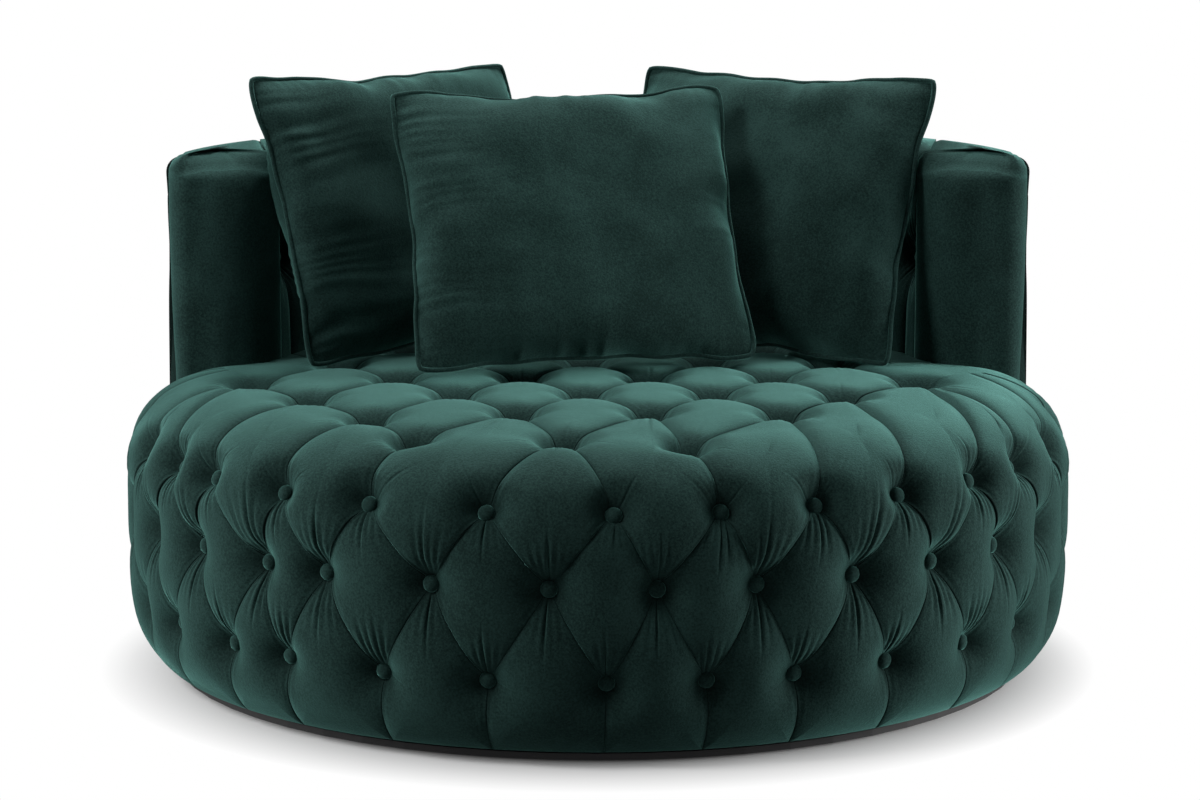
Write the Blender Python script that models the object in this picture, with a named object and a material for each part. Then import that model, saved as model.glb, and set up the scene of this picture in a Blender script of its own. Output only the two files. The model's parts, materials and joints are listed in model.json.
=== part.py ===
"""Round tufted loveseat that swivels on a recessed base, with a wrap-round back and three pillows.

Metres, +Z up. The front faces -Y and the origin is on the floor under the middle of the round seat.
Angles are in degrees from the front towards +X on the drum, and from the back towards +X on the back.
"""
import math

import bmesh
import bpy
from mathutils import Matrix, Vector
from mathutils.bvhtree import BVHTree
from mathutils.geometry import intersect_line_line_2d

# Clearances between pieces that touch, and between pieces that run past each other
GAP = 0.0003
RUNNING = 0.001

# Plump outer surface of the drum: the round's widest radius and top, and how it draws in from them
WAIST_RADIUS = 0.664
CROWN_HEIGHT = 0.406
WAIST_FALL = 0.136
CROWN_FALL = 0.008
SHOULDER_REACH = 0.164
HEM_TUCK = 0.047
HEM_HEIGHT = 0.0152
HEM_FOLD = 0.004
RIM_ROUNDNESS = 2.5
HEM_ROUNDNESS = 6.0
SHOULDER_RADIUS = WAIST_RADIUS - SHOULDER_REACH
HEM_RADIUS = WAIST_RADIUS - HEM_TUCK
WAIST_HEIGHT = CROWN_HEIGHT - WAIST_FALL

# Tufting of the drum
BAY_COUNT = 30
TOP_ROW_FALL = 0.076
MIDDLE_ROW_FALL = 0.176
LOW_ROW_FALL = 0.298
TOP_ROW_HEIGHT = CROWN_HEIGHT - TOP_ROW_FALL
MIDDLE_ROW_HEIGHT = CROWN_HEIGHT - MIDDLE_ROW_FALL
LOW_ROW_HEIGHT = CROWN_HEIGHT - LOW_ROW_FALL
TUFT_PITCH_ACROSS = 0.175
TUFT_PITCH_ALONG = 0.134
TUFT_SHIFT = -0.018
RING_BAYS = BAY_COUNT // 3
RING_TUFT_INSET = 0.159
RING_TUFT_RADIUS = WAIST_RADIUS - RING_TUFT_INSET
RING_TUFT_TURN = 12.0
TUFT_FIELD_MARGIN = 0.067
TUFT_FIELD_RADIUS = RING_TUFT_RADIUS - TUFT_FIELD_MARGIN
TOP_TUFT_DEPTH = 0.040
SIDE_TUFT_DEPTH = 0.018
PLEAT_SHARE = 0.55
CROWN_SHARE = 0.22

# Base that stays on the floor
PAD_RADIUS = 0.022
PAD_HEIGHT = 0.003
PAD_INSET = 0.080
PAD_COUNT = 6
PLINTH_SETBACK = 0.017
PLINTH_THICKNESS = 0.0087
PLINTH_RADIUS = HEM_RADIUS - PLINTH_SETBACK

# Turntable
RACE_RADIUS = 0.170
PLATE_RIM = 0.030
PLATE_WIDTH = 0.115
PLATE_RADIUS = RACE_RADIUS + PLATE_RIM
PLATE_BORE = RACE_RADIUS - PLATE_WIDTH
PLATE_THICKNESS = 0.002
RACE_WIDTH = 0.0065
RACE_DEPTH = 0.0010
BALL_RADIUS = 0.0025
BALL_COUNT = 6
SLIDER_RADIUS = 0.025
SLIDER_INSET = 0.120
SLIDER_COUNT = 4

# Drum frame, in from the hem, and the seat's suspension
SIDE_PADDING = 0.023
SKIN_THICKNESS = 0.0055
SKIN_CLEARANCE = 0.0007
BOARD_THICKNESS = 0.018
POST_SIZE = 0.045
POST_COUNT = 8
SEAT_PADDING = 0.0603
DECK_WIDTH = 0.0845
DECK_THICKNESS = 0.0340
RING_WIDTH = 0.0875
RING_THICKNESS = 0.018
STRAP_WIDTH = 0.050
STRAP_THICKNESS = 0.0015
STRAP_PITCH = 0.100
STRAP_COUNT = 9
STRAP_MARGIN = 0.0175

# Wrap-round back
BACK_SETBACK = 0.044
BACK_THICKNESS = 0.142
BACK_OUTER_RADIUS = WAIST_RADIUS - BACK_SETBACK
BACK_INNER_RADIUS = BACK_OUTER_RADIUS - BACK_THICKNESS
BACK_RISE = 0.294
BACK_TOP = CROWN_HEIGHT + BACK_RISE
BACK_OUTER_TOP = BACK_TOP - 0.0055
BACK_BULGE = 0.010
INNER_SEAM_ANGLE = 74.0
OUTER_SEAM_MARGIN = 0.93
TOP_SEAM_ANGLE = 57.0
SEAM_WIDTH = 0.0006
NOSE_RADIUS = 0.095
CORNER_RADIUS = 0.030
CORNER_Y = ((BACK_INNER_RADIUS + NOSE_RADIUS) * math.cos(math.radians(INNER_SEAM_ANGLE))
            - NOSE_RADIUS + CORNER_RADIUS)
CORNER_X = math.sqrt((BACK_OUTER_RADIUS - CORNER_RADIUS) ** 2 - CORNER_Y ** 2)
OUTER_SEAM_ANGLE = math.degrees(math.atan2(CORNER_X, CORNER_Y)) - OUTER_SEAM_MARGIN
BACK_SINK = 0.0041
BACK_ROOM = 0.004

# Rounded upper edge of the back: how far it falls, and how far it draws in, on the way to the top
EDGE_FALL = 0.024
EDGE_BEND_FALL = 0.007
EDGE_BEND_DRAW = 0.0055
EDGE_DRAW = 0.0195
OUTER_EDGE_FALL = 0.028
OUTER_BEND_FALL = 0.012
OUTER_BEND_DRAW = 0.0045
WRAP_INSET = 0.016
WRAP_BEVEL = 0.0035

# Tufting of the back
BACK_BAYS = 15
INNER_ROW_FALLS = (0.160, 0.080)
OUTER_ROW_FALLS = (0.145, 0.060)
BACK_TUFT_DEPTH = 0.020
INNER_HEM_DEPTH = 0.008
INNER_TOP_DEPTH = 0.005
OUTER_HEM_DEPTH = 0.012

# Padding and frame of the back
INNER_PADDING = 0.037
TOP_PADDING = 0.0397
OUTER_PADDING = 0.0426
RAIL_THICKNESS = 0.022
RAIL_ANGLE = 70.0
RAIL_STEPS = 24
BACK_SKIN_THICKNESS = 0.003
BACK_POST_ANGLES = (-65.0, -32.5, 0.0, 32.5, 65.0)
BACK_POST_WIDTH = 0.050
BACK_POST_ROOM = 0.003
BOLT_ANGLES = (-50.0, -18.0, 18.0, 50.0)
BOLT_RADIUS = 0.004
BOLT_HEAD_RADIUS = 0.0065
BOLT_HEAD_HEIGHT = 0.005
BOLT_DEPTH = 0.030
BOLT_SIDES = 12

# Pillows: name, angle from the back, distance in from the back's face, turn, lean back and roll
PILLOW_WIDTH = 0.500
PILLOW_HEIGHT = 0.430
PILLOW_THICKNESS = 0.125
PILLOW_DRAW = 0.030
PILLOW_FULLNESS = 0.42
PILLOW_CELLS = 10
PIPING_RADIUS = 0.0035
PIPING_SIDES = 6
PILLOWS = (
    ("left", -49.6, 0.116, 44.0, 18.4, 0.0),
    ("right", 47.7, 0.148, -33.5, 18.9, 0.0),
    ("front", -30.0, 0.406, 14.5, 28.5, 0.2),
)

# Facets
ROUND = 60

# Radii that follow from the outer surface
FRAME_RADIUS = HEM_RADIUS - SIDE_PADDING - SKIN_CLEARANCE - SKIN_THICKNESS - GAP
SKIN_INNER = FRAME_RADIUS + GAP
SKIN_OUTER = SKIN_INNER + SKIN_THICKNESS
COVER_INNER = SKIN_OUTER + SKIN_CLEARANCE
DECK_BORE = FRAME_RADIUS - DECK_WIDTH
RING_BORE = FRAME_RADIUS - RING_WIDTH
STRAP_REACH = FRAME_RADIUS - STRAP_MARGIN
WRAP_RADIUS = BACK_OUTER_RADIUS - WRAP_INSET
INNER_FLAT = math.cos(math.radians(RAIL_ANGLE / RAIL_STEPS))
OUTER_FLAT = math.cos(math.radians(OUTER_SEAM_ANGLE / BACK_BAYS / 2))
INNER_SKIN = (BACK_INNER_RADIUS + INNER_PADDING + GAP) / INNER_FLAT
OUTER_SKIN = (BACK_OUTER_RADIUS - OUTER_PADDING) * OUTER_FLAT - GAP
RAIL_INNER = INNER_SKIN + BACK_SKIN_THICKNESS + GAP
RAIL_OUTER = OUTER_SKIN - BACK_SKIN_THICKNESS - GAP

# Heights that follow from the stack of pieces
PLINTH_BOTTOM = PAD_HEIGHT + GAP
PLINTH_TOP = PLINTH_BOTTOM + PLINTH_THICKNESS
LOWER_PLATE = PLINTH_TOP + GAP
BALL_HEIGHT = LOWER_PLATE + PLATE_THICKNESS - RACE_DEPTH + GAP + BALL_RADIUS
UPPER_PLATE = BALL_HEIGHT + BALL_RADIUS + GAP - RACE_DEPTH
BOARD_BOTTOM = UPPER_PLATE + PLATE_THICKNESS + GAP
BOARD_TOP = BOARD_BOTTOM + BOARD_THICKNESS
DECK_HEIGHT = CROWN_HEIGHT - SEAT_PADDING
DECK_BOTTOM = DECK_HEIGHT - DECK_THICKNESS
STRAP_HEIGHT = DECK_BOTTOM - GAP - STRAP_THICKNESS
RING_TOP = STRAP_HEIGHT - GAP
RING_BOTTOM = RING_TOP - RING_THICKNESS
COVER_BOTTOM = DECK_HEIGHT + GAP
BACK_FLOOR = DECK_HEIGHT + BACK_SINK
BACK_BASE = BACK_FLOOR + GAP
PADDING_TOP = BACK_TOP - TOP_PADDING
FRAME_TOP = PADDING_TOP - GAP


# Scene and materials

def clear_scene():
    for item in list(bpy.data.objects):
        bpy.data.objects.remove(item, do_unlink=True)


MATERIALS = {
    "velvet": ((0.020, 0.065, 0.055), 0.80, 0.0),
    "velvet_pillow": ((0.018, 0.060, 0.052), 0.80, 0.0),
    "plinth_black": ((0.012, 0.012, 0.013), 0.60, 0.0),
    "felt": ((0.10, 0.10, 0.10), 0.95, 0.0),
    "steel": ((0.55, 0.56, 0.58), 0.35, 1.0),
    "nylon": ((0.75, 0.75, 0.72), 0.45, 0.0),
    "plywood": ((0.55, 0.38, 0.22), 0.65, 0.0),
    "hardboard": ((0.30, 0.19, 0.11), 0.70, 0.0),
    "webbing": ((0.07, 0.07, 0.08), 0.85, 0.0),
    "foam": ((0.80, 0.76, 0.62), 0.90, 0.0),
}


def material(name):
    found = bpy.data.materials.get(name)
    if found:
        return found
    colour, roughness, metallic = MATERIALS[name]
    made = bpy.data.materials.new(name)
    made.use_nodes = True
    shader = made.node_tree.nodes["Principled BSDF"]
    shader.inputs["Base Color"].default_value = (*colour, 1.0)
    shader.inputs["Roughness"].default_value = roughness
    shader.inputs["Metallic"].default_value = metallic
    made.diffuse_color = (*colour, 1.0)
    return made


def add_object(name, shape, finish, body, smooth_angle=35.0):
    """A named object from a bmesh, with its faces out and its round stretches smooth."""
    bmesh.ops.recalc_face_normals(shape, faces=shape.faces)
    mesh = bpy.data.meshes.new(name)
    shape.to_mesh(mesh)
    shape.free()
    mesh.materials.append(material(finish))
    mesh.shade_smooth()
    mesh.set_sharp_from_angle(angle=math.radians(smooth_angle))
    piece = bpy.data.objects.new(name, mesh)
    bpy.context.collection.objects.link(piece)
    piece.parent = body
    return piece


def add_copies(name, shape, finish, body, places, smooth_angle=35.0):
    """The same piece at several (location, turn in degrees) places, sharing one mesh."""
    first = add_object(name + "_1", shape, finish, body, smooth_angle)
    for i, (location, turn) in enumerate(places):
        piece = first
        if i:
            piece = bpy.data.objects.new(f"{name}_{i + 1}", first.data)
            bpy.context.collection.objects.link(piece)
            piece.parent = body
        piece.location = location
        piece.rotation_euler.z = math.radians(turn)


def add_body(name):
    """An empty on the swivel's axis that carries the pieces of one rigid body."""
    body = bpy.data.objects.new(name, None)
    bpy.context.collection.objects.link(body)
    return body


# Plain shapes

def around(angle, radius, height=0.0):
    """A point at an angle in degrees from the front, towards +X."""
    turn = math.radians(angle)
    return Vector((radius * math.sin(turn), -radius * math.cos(turn), height))


def from_back(angle, radius, height=0.0):
    """A point at an angle in degrees from the back, towards +X."""
    turn = math.radians(angle)
    return Vector((radius * math.sin(turn), radius * math.cos(turn), height))


def disc(shape, centre, radius, bottom, top, sides):
    bmesh.ops.create_cone(
        shape, cap_ends=True, segments=sides, radius1=radius, radius2=radius, depth=top - bottom,
        matrix=Matrix.Translation((centre[0], centre[1], (bottom + top) / 2)))


def block(shape, place, size):
    """A box of a size, centred at the origin of a placing matrix."""
    bmesh.ops.create_cube(shape, size=1.0, matrix=place @ Matrix.Diagonal((*size, 1.0)))


def turned(shape, profile, sides):
    """A ring from a closed profile of (radius, height) corners, turned about the upright axis."""
    loops = []
    for i in range(sides):
        loops.append([shape.verts.new(around(360.0 * i / sides, r, z)) for r, z in profile])
    join_loops(shape, loops + [loops[0]], closed=True)


def join_loops(shape, loops, closed):
    """Quads between neighbouring rows of equally many vertices."""
    for near, far in zip(loops, loops[1:]):
        last = len(near) if closed else len(near) - 1
        for i in range(last):
            j = (i + 1) % len(near)
            shape.faces.new((near[i], near[j], far[j], far[i]))


def sector(shape, inner, outer, bottom, top, reach, steps):
    """A curved bar behind the seat: a box section swept through plus and minus one angle."""
    section = ((inner, bottom), (outer, bottom), (outer, top), (inner, top))
    loops = []
    for i in range(steps + 1):
        angle = -reach + 2.0 * reach * i / steps
        loops.append([shape.verts.new(from_back(angle, r, z)) for r, z in section])
    join_loops(shape, loops, closed=True)
    shape.faces.new(loops[0])
    shape.faces.new(loops[-1])


def prism(shape, outline, layers):
    """A solid from (x, y, outward x, outward y) corners, drawn in by a distance at each height."""
    loops = []
    for height, draw in layers:
        loops.append([shape.verts.new((x - nx * draw, y - ny * draw, height)) for x, y, nx, ny in outline])
    join_loops(shape, loops, closed=True)
    shape.faces.new(loops[0])
    shape.faces.new(loops[-1])


def combine(piece, guide, operation):
    """A Boolean with a guide shape that isn't itself a piece."""
    guide.hide_render = True
    guide.display_type = "WIRE"
    modifier = piece.modifiers.new(guide.name, "BOOLEAN")
    modifier.operation = operation
    modifier.solver = "EXACT"
    modifier.object = guide


def cut(piece, cutter):
    """Takes the cutter's shape out of the piece."""
    combine(piece, cutter, "DIFFERENCE")


def fuse(piece, guide):
    """Adds the guide's shape to the piece."""
    combine(piece, guide, "UNION")


# Plump outline of the drum

class Outline:
    """A turned surface's profile, read by the distance along it from the middle of the top."""

    def __init__(self, points):
        self.points = [Vector(p) for p in points]
        self.lengths = [0.0]
        for a, b in zip(self.points, self.points[1:]):
            self.lengths.append(self.lengths[-1] + (b - a).length)

    def at(self, distance):
        """Radius and height, and the outward direction there."""
        last = len(self.points) - 2
        i = 0
        while i < last and self.lengths[i + 1] < distance:
            i += 1
        a, b = self.points[i], self.points[i + 1]
        run = b - a
        spot = a + run * ((distance - self.lengths[i]) / run.length)
        return spot, Vector((-run.y, run.x)).normalized()

    def distance_at(self, height):
        """How far along the outline first drops to a height."""
        for i in range(len(self.points) - 1):
            a, b = self.points[i], self.points[i + 1]
            if b.y <= height < a.y:
                return self.lengths[i] + (b - a).length * (a.y - height) / (a.y - b.y)
        return self.lengths[-1]


def drum_outline(steps=60):
    """A slightly domed top, a superelliptic shoulder and a side that tucks in at the hem."""
    points = []
    for i in range(steps):
        share = i / steps
        points.append((SHOULDER_RADIUS * share, CROWN_HEIGHT - CROWN_FALL * share ** 4))
    rise = CROWN_HEIGHT - CROWN_FALL - WAIST_HEIGHT
    for i in range(steps):
        turn = math.pi / 2 * i / steps
        power = 2.0 / RIM_ROUNDNESS
        points.append((SHOULDER_RADIUS + (WAIST_RADIUS - SHOULDER_RADIUS) * math.sin(turn) ** power,
                       WAIST_HEIGHT + rise * math.cos(turn) ** power))
    for i in range(steps + 1):
        share = i / steps
        points.append((HEM_RADIUS + (WAIST_RADIUS - HEM_RADIUS) * (1.0 - share ** HEM_ROUNDNESS),
                       WAIST_HEIGHT - (WAIST_HEIGHT - HEM_HEIGHT) * share))
    return Outline(points)


DRUM = drum_outline()
TOP_ROW = DRUM.distance_at(TOP_ROW_HEIGHT)
MIDDLE_ROW = DRUM.distance_at(MIDDLE_ROW_HEIGHT)
LOW_ROW = DRUM.distance_at(LOW_ROW_HEIGHT)
HEM = DRUM.lengths[-1]


def on_drum(angle, distance, depth, lift=0.0):
    """A point at an angle and a distance along the outline, sunk into the cover by a depth."""
    spot, out = DRUM.at(distance)
    return around(angle, spot.x - out.x * depth, spot.y - out.y * depth + lift)


# Tufting

class Quilt:
    """Puffed cells of cloth. Spots are (across, along, depth) by name; corners sink, middles stay proud."""

    def __init__(self, shape, spots, place, middle, bare=()):
        self.shape = shape
        self.spots = spots
        self.place = place
        self.middle = middle
        self.bare = {frozenset(pair) for pair in bare}
        self.vertices = {}

    def vertex(self, name, spot):
        if name not in self.vertices:
            self.vertices[name] = self.shape.verts.new(self.place(*spot))
        return self.vertices[name]

    def rim(self, corners):
        """The cell's corners, with a point halfway along each pleat, as (vertex, spot, is corner)."""
        points = []
        for a, b in zip(corners, corners[1:] + corners[:1]):
            points.append((self.vertex(a, self.spots[a]), self.spots[a], True))
            pair = frozenset((a, b))
            if pair not in self.bare:
                spot = self.middle(self.spots[a], self.spots[b])
                points.append((self.vertex(pair, spot), spot, False))
        return points

    def cell(self, corners, rounded=False):
        rim = self.rim(corners)
        centre = [sum(self.spots[c][k] for c in corners) / len(corners) for k in (0, 1)]
        top = self.vertex(tuple(corners), (centre[0], centre[1], 0.0))
        count = len(rim)
        own = [None] * count
        for i, (vertex, spot, corner) in enumerate(rim):
            if rounded or not corner:
                half = ((spot[0] + centre[0]) / 2, (spot[1] + centre[1]) / 2, spot[2] * CROWN_SHARE)
                own[i] = self.shape.verts.new(self.place(*half))
        inner = []
        for i in range(count):
            k = i
            while own[k] is None:
                k = (k + 1) % count
            inner.append(own[k])
        for i in range(count):
            j = (i + 1) % count
            self.shape.faces.new((rim[i][0], rim[j][0], inner[i]))
            if inner[i] is not inner[j]:
                self.shape.faces.new((rim[j][0], inner[j], inner[i]))
                self.shape.faces.new((inner[i], inner[j], top))


def pleat_between(a, b):
    """Halfway along a pleat, which stays shallower than the buttons at its ends."""
    return ((a[0] + b[0]) / 2, (a[1] + b[1]) / 2, PLEAT_SHARE * (a[2] + b[2]) / 2)


def faces_of_network(spots, links):
    """The cells of a flat network, each as its corners in order, without the one outside."""
    neighbours = {}
    for a, b in links:
        neighbours.setdefault(a, set()).add(b)
        neighbours.setdefault(b, set()).add(a)
    turn = {}
    for a, near in neighbours.items():
        order = sorted(near, key=lambda b: math.atan2(spots[b][1] - spots[a][1], spots[b][0] - spots[a][0]))
        for i, b in enumerate(order):
            turn[(b, a)] = (a, order[i - 1])
    cells = []
    left = set(turn)
    for start in sorted(left):
        if start not in left:
            continue
        cell = []
        edge = start
        while edge in left:
            left.remove(edge)
            cell.append(edge[0])
            edge = turn[edge]
        area = sum(spots[a][0] * spots[b][1] - spots[b][0] * spots[a][1]
                   for a, b in zip(cell, cell[1:] + cell[:1]))
        if area > 0:
            cells.append(cell)
    return cells


def flat(angle, distance):
    """Where a point of the drum's cover lies when the cover is laid flat."""
    point = around(angle, distance)
    return point.x, point.y


def polar(x, y):
    return math.degrees(math.atan2(x, -y)), math.hypot(x, y)


def under_back(angle):
    return abs((angle % 360.0) - 180.0) < OUTER_SEAM_ANGLE + 6.0


def field_tufts():
    """The straight rows of buttons on the top, staggered row by row."""
    spots = {}
    rows = range(-4, 4)
    for row in rows:
        along = (row + 0.5) * TUFT_PITCH_ALONG
        for column in range(-4, 5):
            across = (column + 0.5 * (row % 2)) * TUFT_PITCH_ACROSS + TUFT_SHIFT
            if math.hypot(across, along) < TUFT_FIELD_RADIUS:
                spots[("field", 2 * column + row % 2, row)] = (across, along, TOP_TUFT_DEPTH)
    return spots


def ring_tufts():
    """The ring of buttons inside the rim: one in line with a side button, the next between two."""
    spots = {}
    step = 360.0 / RING_BAYS
    for bay in range(RING_BAYS):
        for kind, angle in (("in_line", step * bay + RING_TUFT_TURN), ("between", step * bay + RING_TUFT_TURN - step / 2)):
            depth = 0.0 if under_back(angle) else TOP_TUFT_DEPTH
            spots[(kind, bay, 0)] = (*flat(angle, RING_TUFT_RADIUS), depth)
    return spots


def row_tufts():
    """The two uppermost rows of side buttons, whose zigzag pleats end the top cover."""
    spots = {}
    for bay in range(BAY_COUNT):
        step = 360.0 / BAY_COUNT
        spots[("top", bay, 0)] = (*flat(step * bay, TOP_ROW), SIDE_TUFT_DEPTH)
        spots[("middle", bay, 0)] = (*flat(step * (bay + 0.5), MIDDLE_ROW), SIDE_TUFT_DEPTH)
    return spots


def crosses(spots, links, one, other):
    """Whether a pleat between two spots would cross one of the pleats so far."""
    a, b = Vector(spots[one][:2]), Vector(spots[other][:2])
    for c, d in links:
        if {c, d} & {one, other}:
            continue
        if intersect_line_line_2d(a, b, Vector(spots[c][:2]), Vector(spots[d][:2])):
            return True
    return False


def seat_network():
    """Spots and pleats of the top cover."""
    field = field_tufts()
    ring = ring_tufts()
    rows = row_tufts()
    spots = {**field, **ring, **rows}
    links = set()
    outward = []
    for name, spot in field.items():
        for side in (-1, 1):
            for step in (-1, 1):
                other = ("field", name[1] + side, name[2] + step)
                if other in field:
                    links.add(tuple(sorted((name, other))))
                    continue
                aim = (spot[0] + side * TUFT_PITCH_ACROSS / 2, spot[1] + step * TUFT_PITCH_ALONG / 2)
                near = min(ring, key=lambda r: math.dist(ring[r][:2], aim))
                outward.append((name, near))
    linked = {name for pair in outward for name in pair}
    for name, spot in ring.items():
        if name not in linked:
            near = min(field, key=lambda f: math.dist(field[f][:2], spot[:2]))
            outward.append((near, name))
    for pair in sorted(set(outward), key=lambda pair: math.dist(spots[pair[0]][:2], spots[pair[1]][:2])):
        if not crosses(spots, links, *pair):
            links.add(pair)
    for bay in range(RING_BAYS):
        links.add((("in_line", bay, 0), ("top", 3 * bay + 1, 0)))
        links.add((("between", bay, 0), ("top", (3 * bay - 1) % BAY_COUNT, 0)))
        links.add((("between", bay, 0), ("top", 3 * bay, 0)))
    for bay in range(BAY_COUNT):
        links.add((("top", bay, 0), ("middle", bay, 0)))
        links.add((("top", (bay + 1) % BAY_COUNT, 0), ("middle", bay, 0)))
    return spots, links


def place_on_top(x, y, depth):
    angle, distance = polar(x, y)
    lift = GAP if distance > TOP_ROW - 0.001 else 0.0
    return on_drum(angle, distance, depth, lift)


def middle_on_top(a, b):
    """Halfway along a pleat of the top cover, in polar terms out on the rim."""
    depth = pleat_between(a, b)[2]
    angle_a, distance_a = polar(a[0], a[1])
    angle_b, distance_b = polar(b[0], b[1])
    if min(distance_a, distance_b) < TOP_ROW - 0.001:
        return ((a[0] + b[0]) / 2, (a[1] + b[1]) / 2, depth)
    if abs(angle_a - angle_b) > 180.0:
        angle_b += 360.0 if angle_a > angle_b else -360.0
    return (*flat((angle_a + angle_b) / 2, (distance_a + distance_b) / 2), depth)


def zigzag_names():
    """The spots and pleat middles of the join between the two drum covers, in order round the drum."""
    names = []
    for bay in range(BAY_COUNT):
        here = ("top", bay, 0)
        low = ("middle", bay, 0)
        after = ("top", (bay + 1) % BAY_COUNT, 0)
        names += [here, frozenset((here, low)), low, frozenset((low, after))]
    return names


def inner_loops(shape, rim, level):
    """The cover's hidden side: a loop behind each rim vertex, and one at a level below or above."""
    behind = []
    flat_loop = []
    for vertex in rim:
        angle = math.degrees(math.atan2(vertex.co.x, -vertex.co.y))
        behind.append(shape.verts.new(around(angle, COVER_INNER, vertex.co.z)))
        flat_loop.append(shape.verts.new(around(angle, COVER_INNER, level)))
    join_loops(shape, [list(rim), behind, flat_loop], closed=True)
    return flat_loop


def make_seat_cover(body):
    shape = bmesh.new()
    spots, links = seat_network()
    quilt = Quilt(shape, spots, place_on_top, middle_on_top)
    for cell in faces_of_network(spots, links):
        quilt.cell(cell, rounded=True)
    rim = [quilt.vertices[name] for name in zigzag_names()]
    ceiling = inner_loops(shape, rim, COVER_BOTTOM)
    shape.faces.new(ceiling)
    cover = add_object("seat_cover", shape, "velvet", body, smooth_angle=60.0)
    cut(cover, back_footprint(body))
    cut(cover, bolt_clearance(body))
    return cover


def make_side_cover(body):
    shape = bmesh.new()
    step = 360.0 / BAY_COUNT
    spots = {}
    for bay in range(BAY_COUNT + 1):
        spots[("top", bay)] = (step * bay, TOP_ROW, SIDE_TUFT_DEPTH)
        spots[("middle", bay)] = (step * (bay + 0.5), MIDDLE_ROW, SIDE_TUFT_DEPTH)
        spots[("low", bay)] = (step * bay, LOW_ROW, SIDE_TUFT_DEPTH)
        spots[("hem", bay)] = (step * bay, HEM, HEM_FOLD)
    spots[("middle", -1)] = (-step / 2, MIDDLE_ROW, SIDE_TUFT_DEPTH)

    def place(angle, distance, depth):
        lift = -GAP if distance < MIDDLE_ROW + 0.001 else 0.0
        return on_drum(angle, distance, depth, lift)

    quilt = Quilt(shape, spots, place, pleat_between)
    for bay in range(BAY_COUNT):
        quilt.cell([("top", bay), ("middle", bay - 1), ("low", bay), ("middle", bay)])
        quilt.cell([("middle", bay), ("low", bay), ("hem", bay), ("hem", bay + 1), ("low", bay + 1)])
    bmesh.ops.remove_doubles(shape, verts=shape.verts, dist=1e-6)
    borders = {edge for edge in shape.edges if edge.is_boundary}
    hem = ordered_loop(borders, lambda z: z < LOW_ROW_HEIGHT)
    zigzag = ordered_loop(borders, lambda z: z > LOW_ROW_HEIGHT)
    top_inner = []
    for vertex in zigzag:
        angle = math.degrees(math.atan2(vertex.co.x, -vertex.co.y))
        top_inner.append(shape.verts.new(around(angle, COVER_INNER, vertex.co.z)))
    join_loops(shape, [zigzag, top_inner], closed=True)
    hem_inner = []
    for vertex in hem:
        angle = math.degrees(math.atan2(vertex.co.x, -vertex.co.y))
        hem_inner.append(shape.verts.new(around(angle, COVER_INNER, HEM_HEIGHT)))
    join_loops(shape, [hem, hem_inner], closed=True)
    bridge_unequal(shape, top_inner, hem_inner)
    return add_object("side_cover", shape, "velvet", body, smooth_angle=60.0)


def ordered_loop(edges, keep):
    """The vertices of a boundary loop, sorted by their angle from the front."""
    found = {v for edge in edges for v in edge.verts if keep(v.co.z)}
    return sorted(found, key=lambda v: round(math.degrees(math.atan2(v.co.x, -v.co.y)), 4) % 360.0)


def bridge_unequal(shape, many, few):
    """Triangles between a loop and one with half as many vertices."""
    ratio = len(many) // len(few)
    for i, vertex in enumerate(few):
        after = few[(i + 1) % len(few)]
        start = i * ratio
        for k in range(ratio):
            a = many[(start + k) % len(many)]
            b = many[(start + k + 1) % len(many)]
            shape.faces.new((a, b, vertex if k < ratio / 2 else after))
        half = many[(start + (ratio + 1) // 2) % len(many)]
        shape.faces.new((half, after, vertex))


# Wrap-round back

def top_seam(radius, forward=0.0):
    """Where the straight seam over the back's top crosses a radius, in the half plane of +X."""
    inner = from_back(INNER_SEAM_ANGLE, BACK_INNER_RADIUS + EDGE_DRAW).to_2d()
    outer = from_back(TOP_SEAM_ANGLE, WRAP_RADIUS).to_2d()
    run = (outer - inner).normalized()
    inner = inner + Vector((run.y, -run.x)) * forward
    dot = inner.dot(run)
    along = -dot + math.sqrt(dot * dot - inner.length_squared + radius * radius)
    return inner + run * along


def seam_angle(radius):
    point = top_seam(radius)
    return math.degrees(math.atan2(point.x, point.y))


def back_rows(falls, reach, bottom, top, hem_depths):
    """Spots and cells of a curved panel with two staggered rows of buttons, so far under the top."""
    low, high = (BACK_TOP - fall for fall in falls)
    step = reach / BACK_BAYS
    spots = {}
    for column in range(2 * BACK_BAYS + 1):
        angle = -reach + step * column
        edge = column in (0, 2 * BACK_BAYS)
        tufted = column % 2
        spots[("bottom", column)] = (angle, bottom, hem_depths[0] if tufted else 0.0)
        spots[("top", column)] = (angle, top, 0.0 if tufted else hem_depths[1])
        height = low if tufted else high
        depth = hem_depths[1] if edge else BACK_TUFT_DEPTH
        spots[("tuft", column)] = (angle, height, depth)
    last = 2 * BACK_BAYS
    cells = []
    for column in range(0, last, 2):
        cells.append([("tuft", column), ("tuft", column + 1), ("tuft", column + 2),
                      ("top", column + 2), ("top", column)])
    for column in range(1, last - 1, 2):
        cells.append([("tuft", column), ("tuft", column + 1), ("tuft", column + 2),
                      ("bottom", column + 2), ("bottom", column)])
    cells.append([("bottom", 0), ("bottom", 1), ("tuft", 1), ("tuft", 0)])
    cells.append([("bottom", last - 1), ("bottom", last), ("tuft", last), ("tuft", last - 1)])
    bare = ((("bottom", 0), ("bottom", 1)), (("bottom", last - 1), ("bottom", last)))
    return spots, cells, bare


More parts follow.
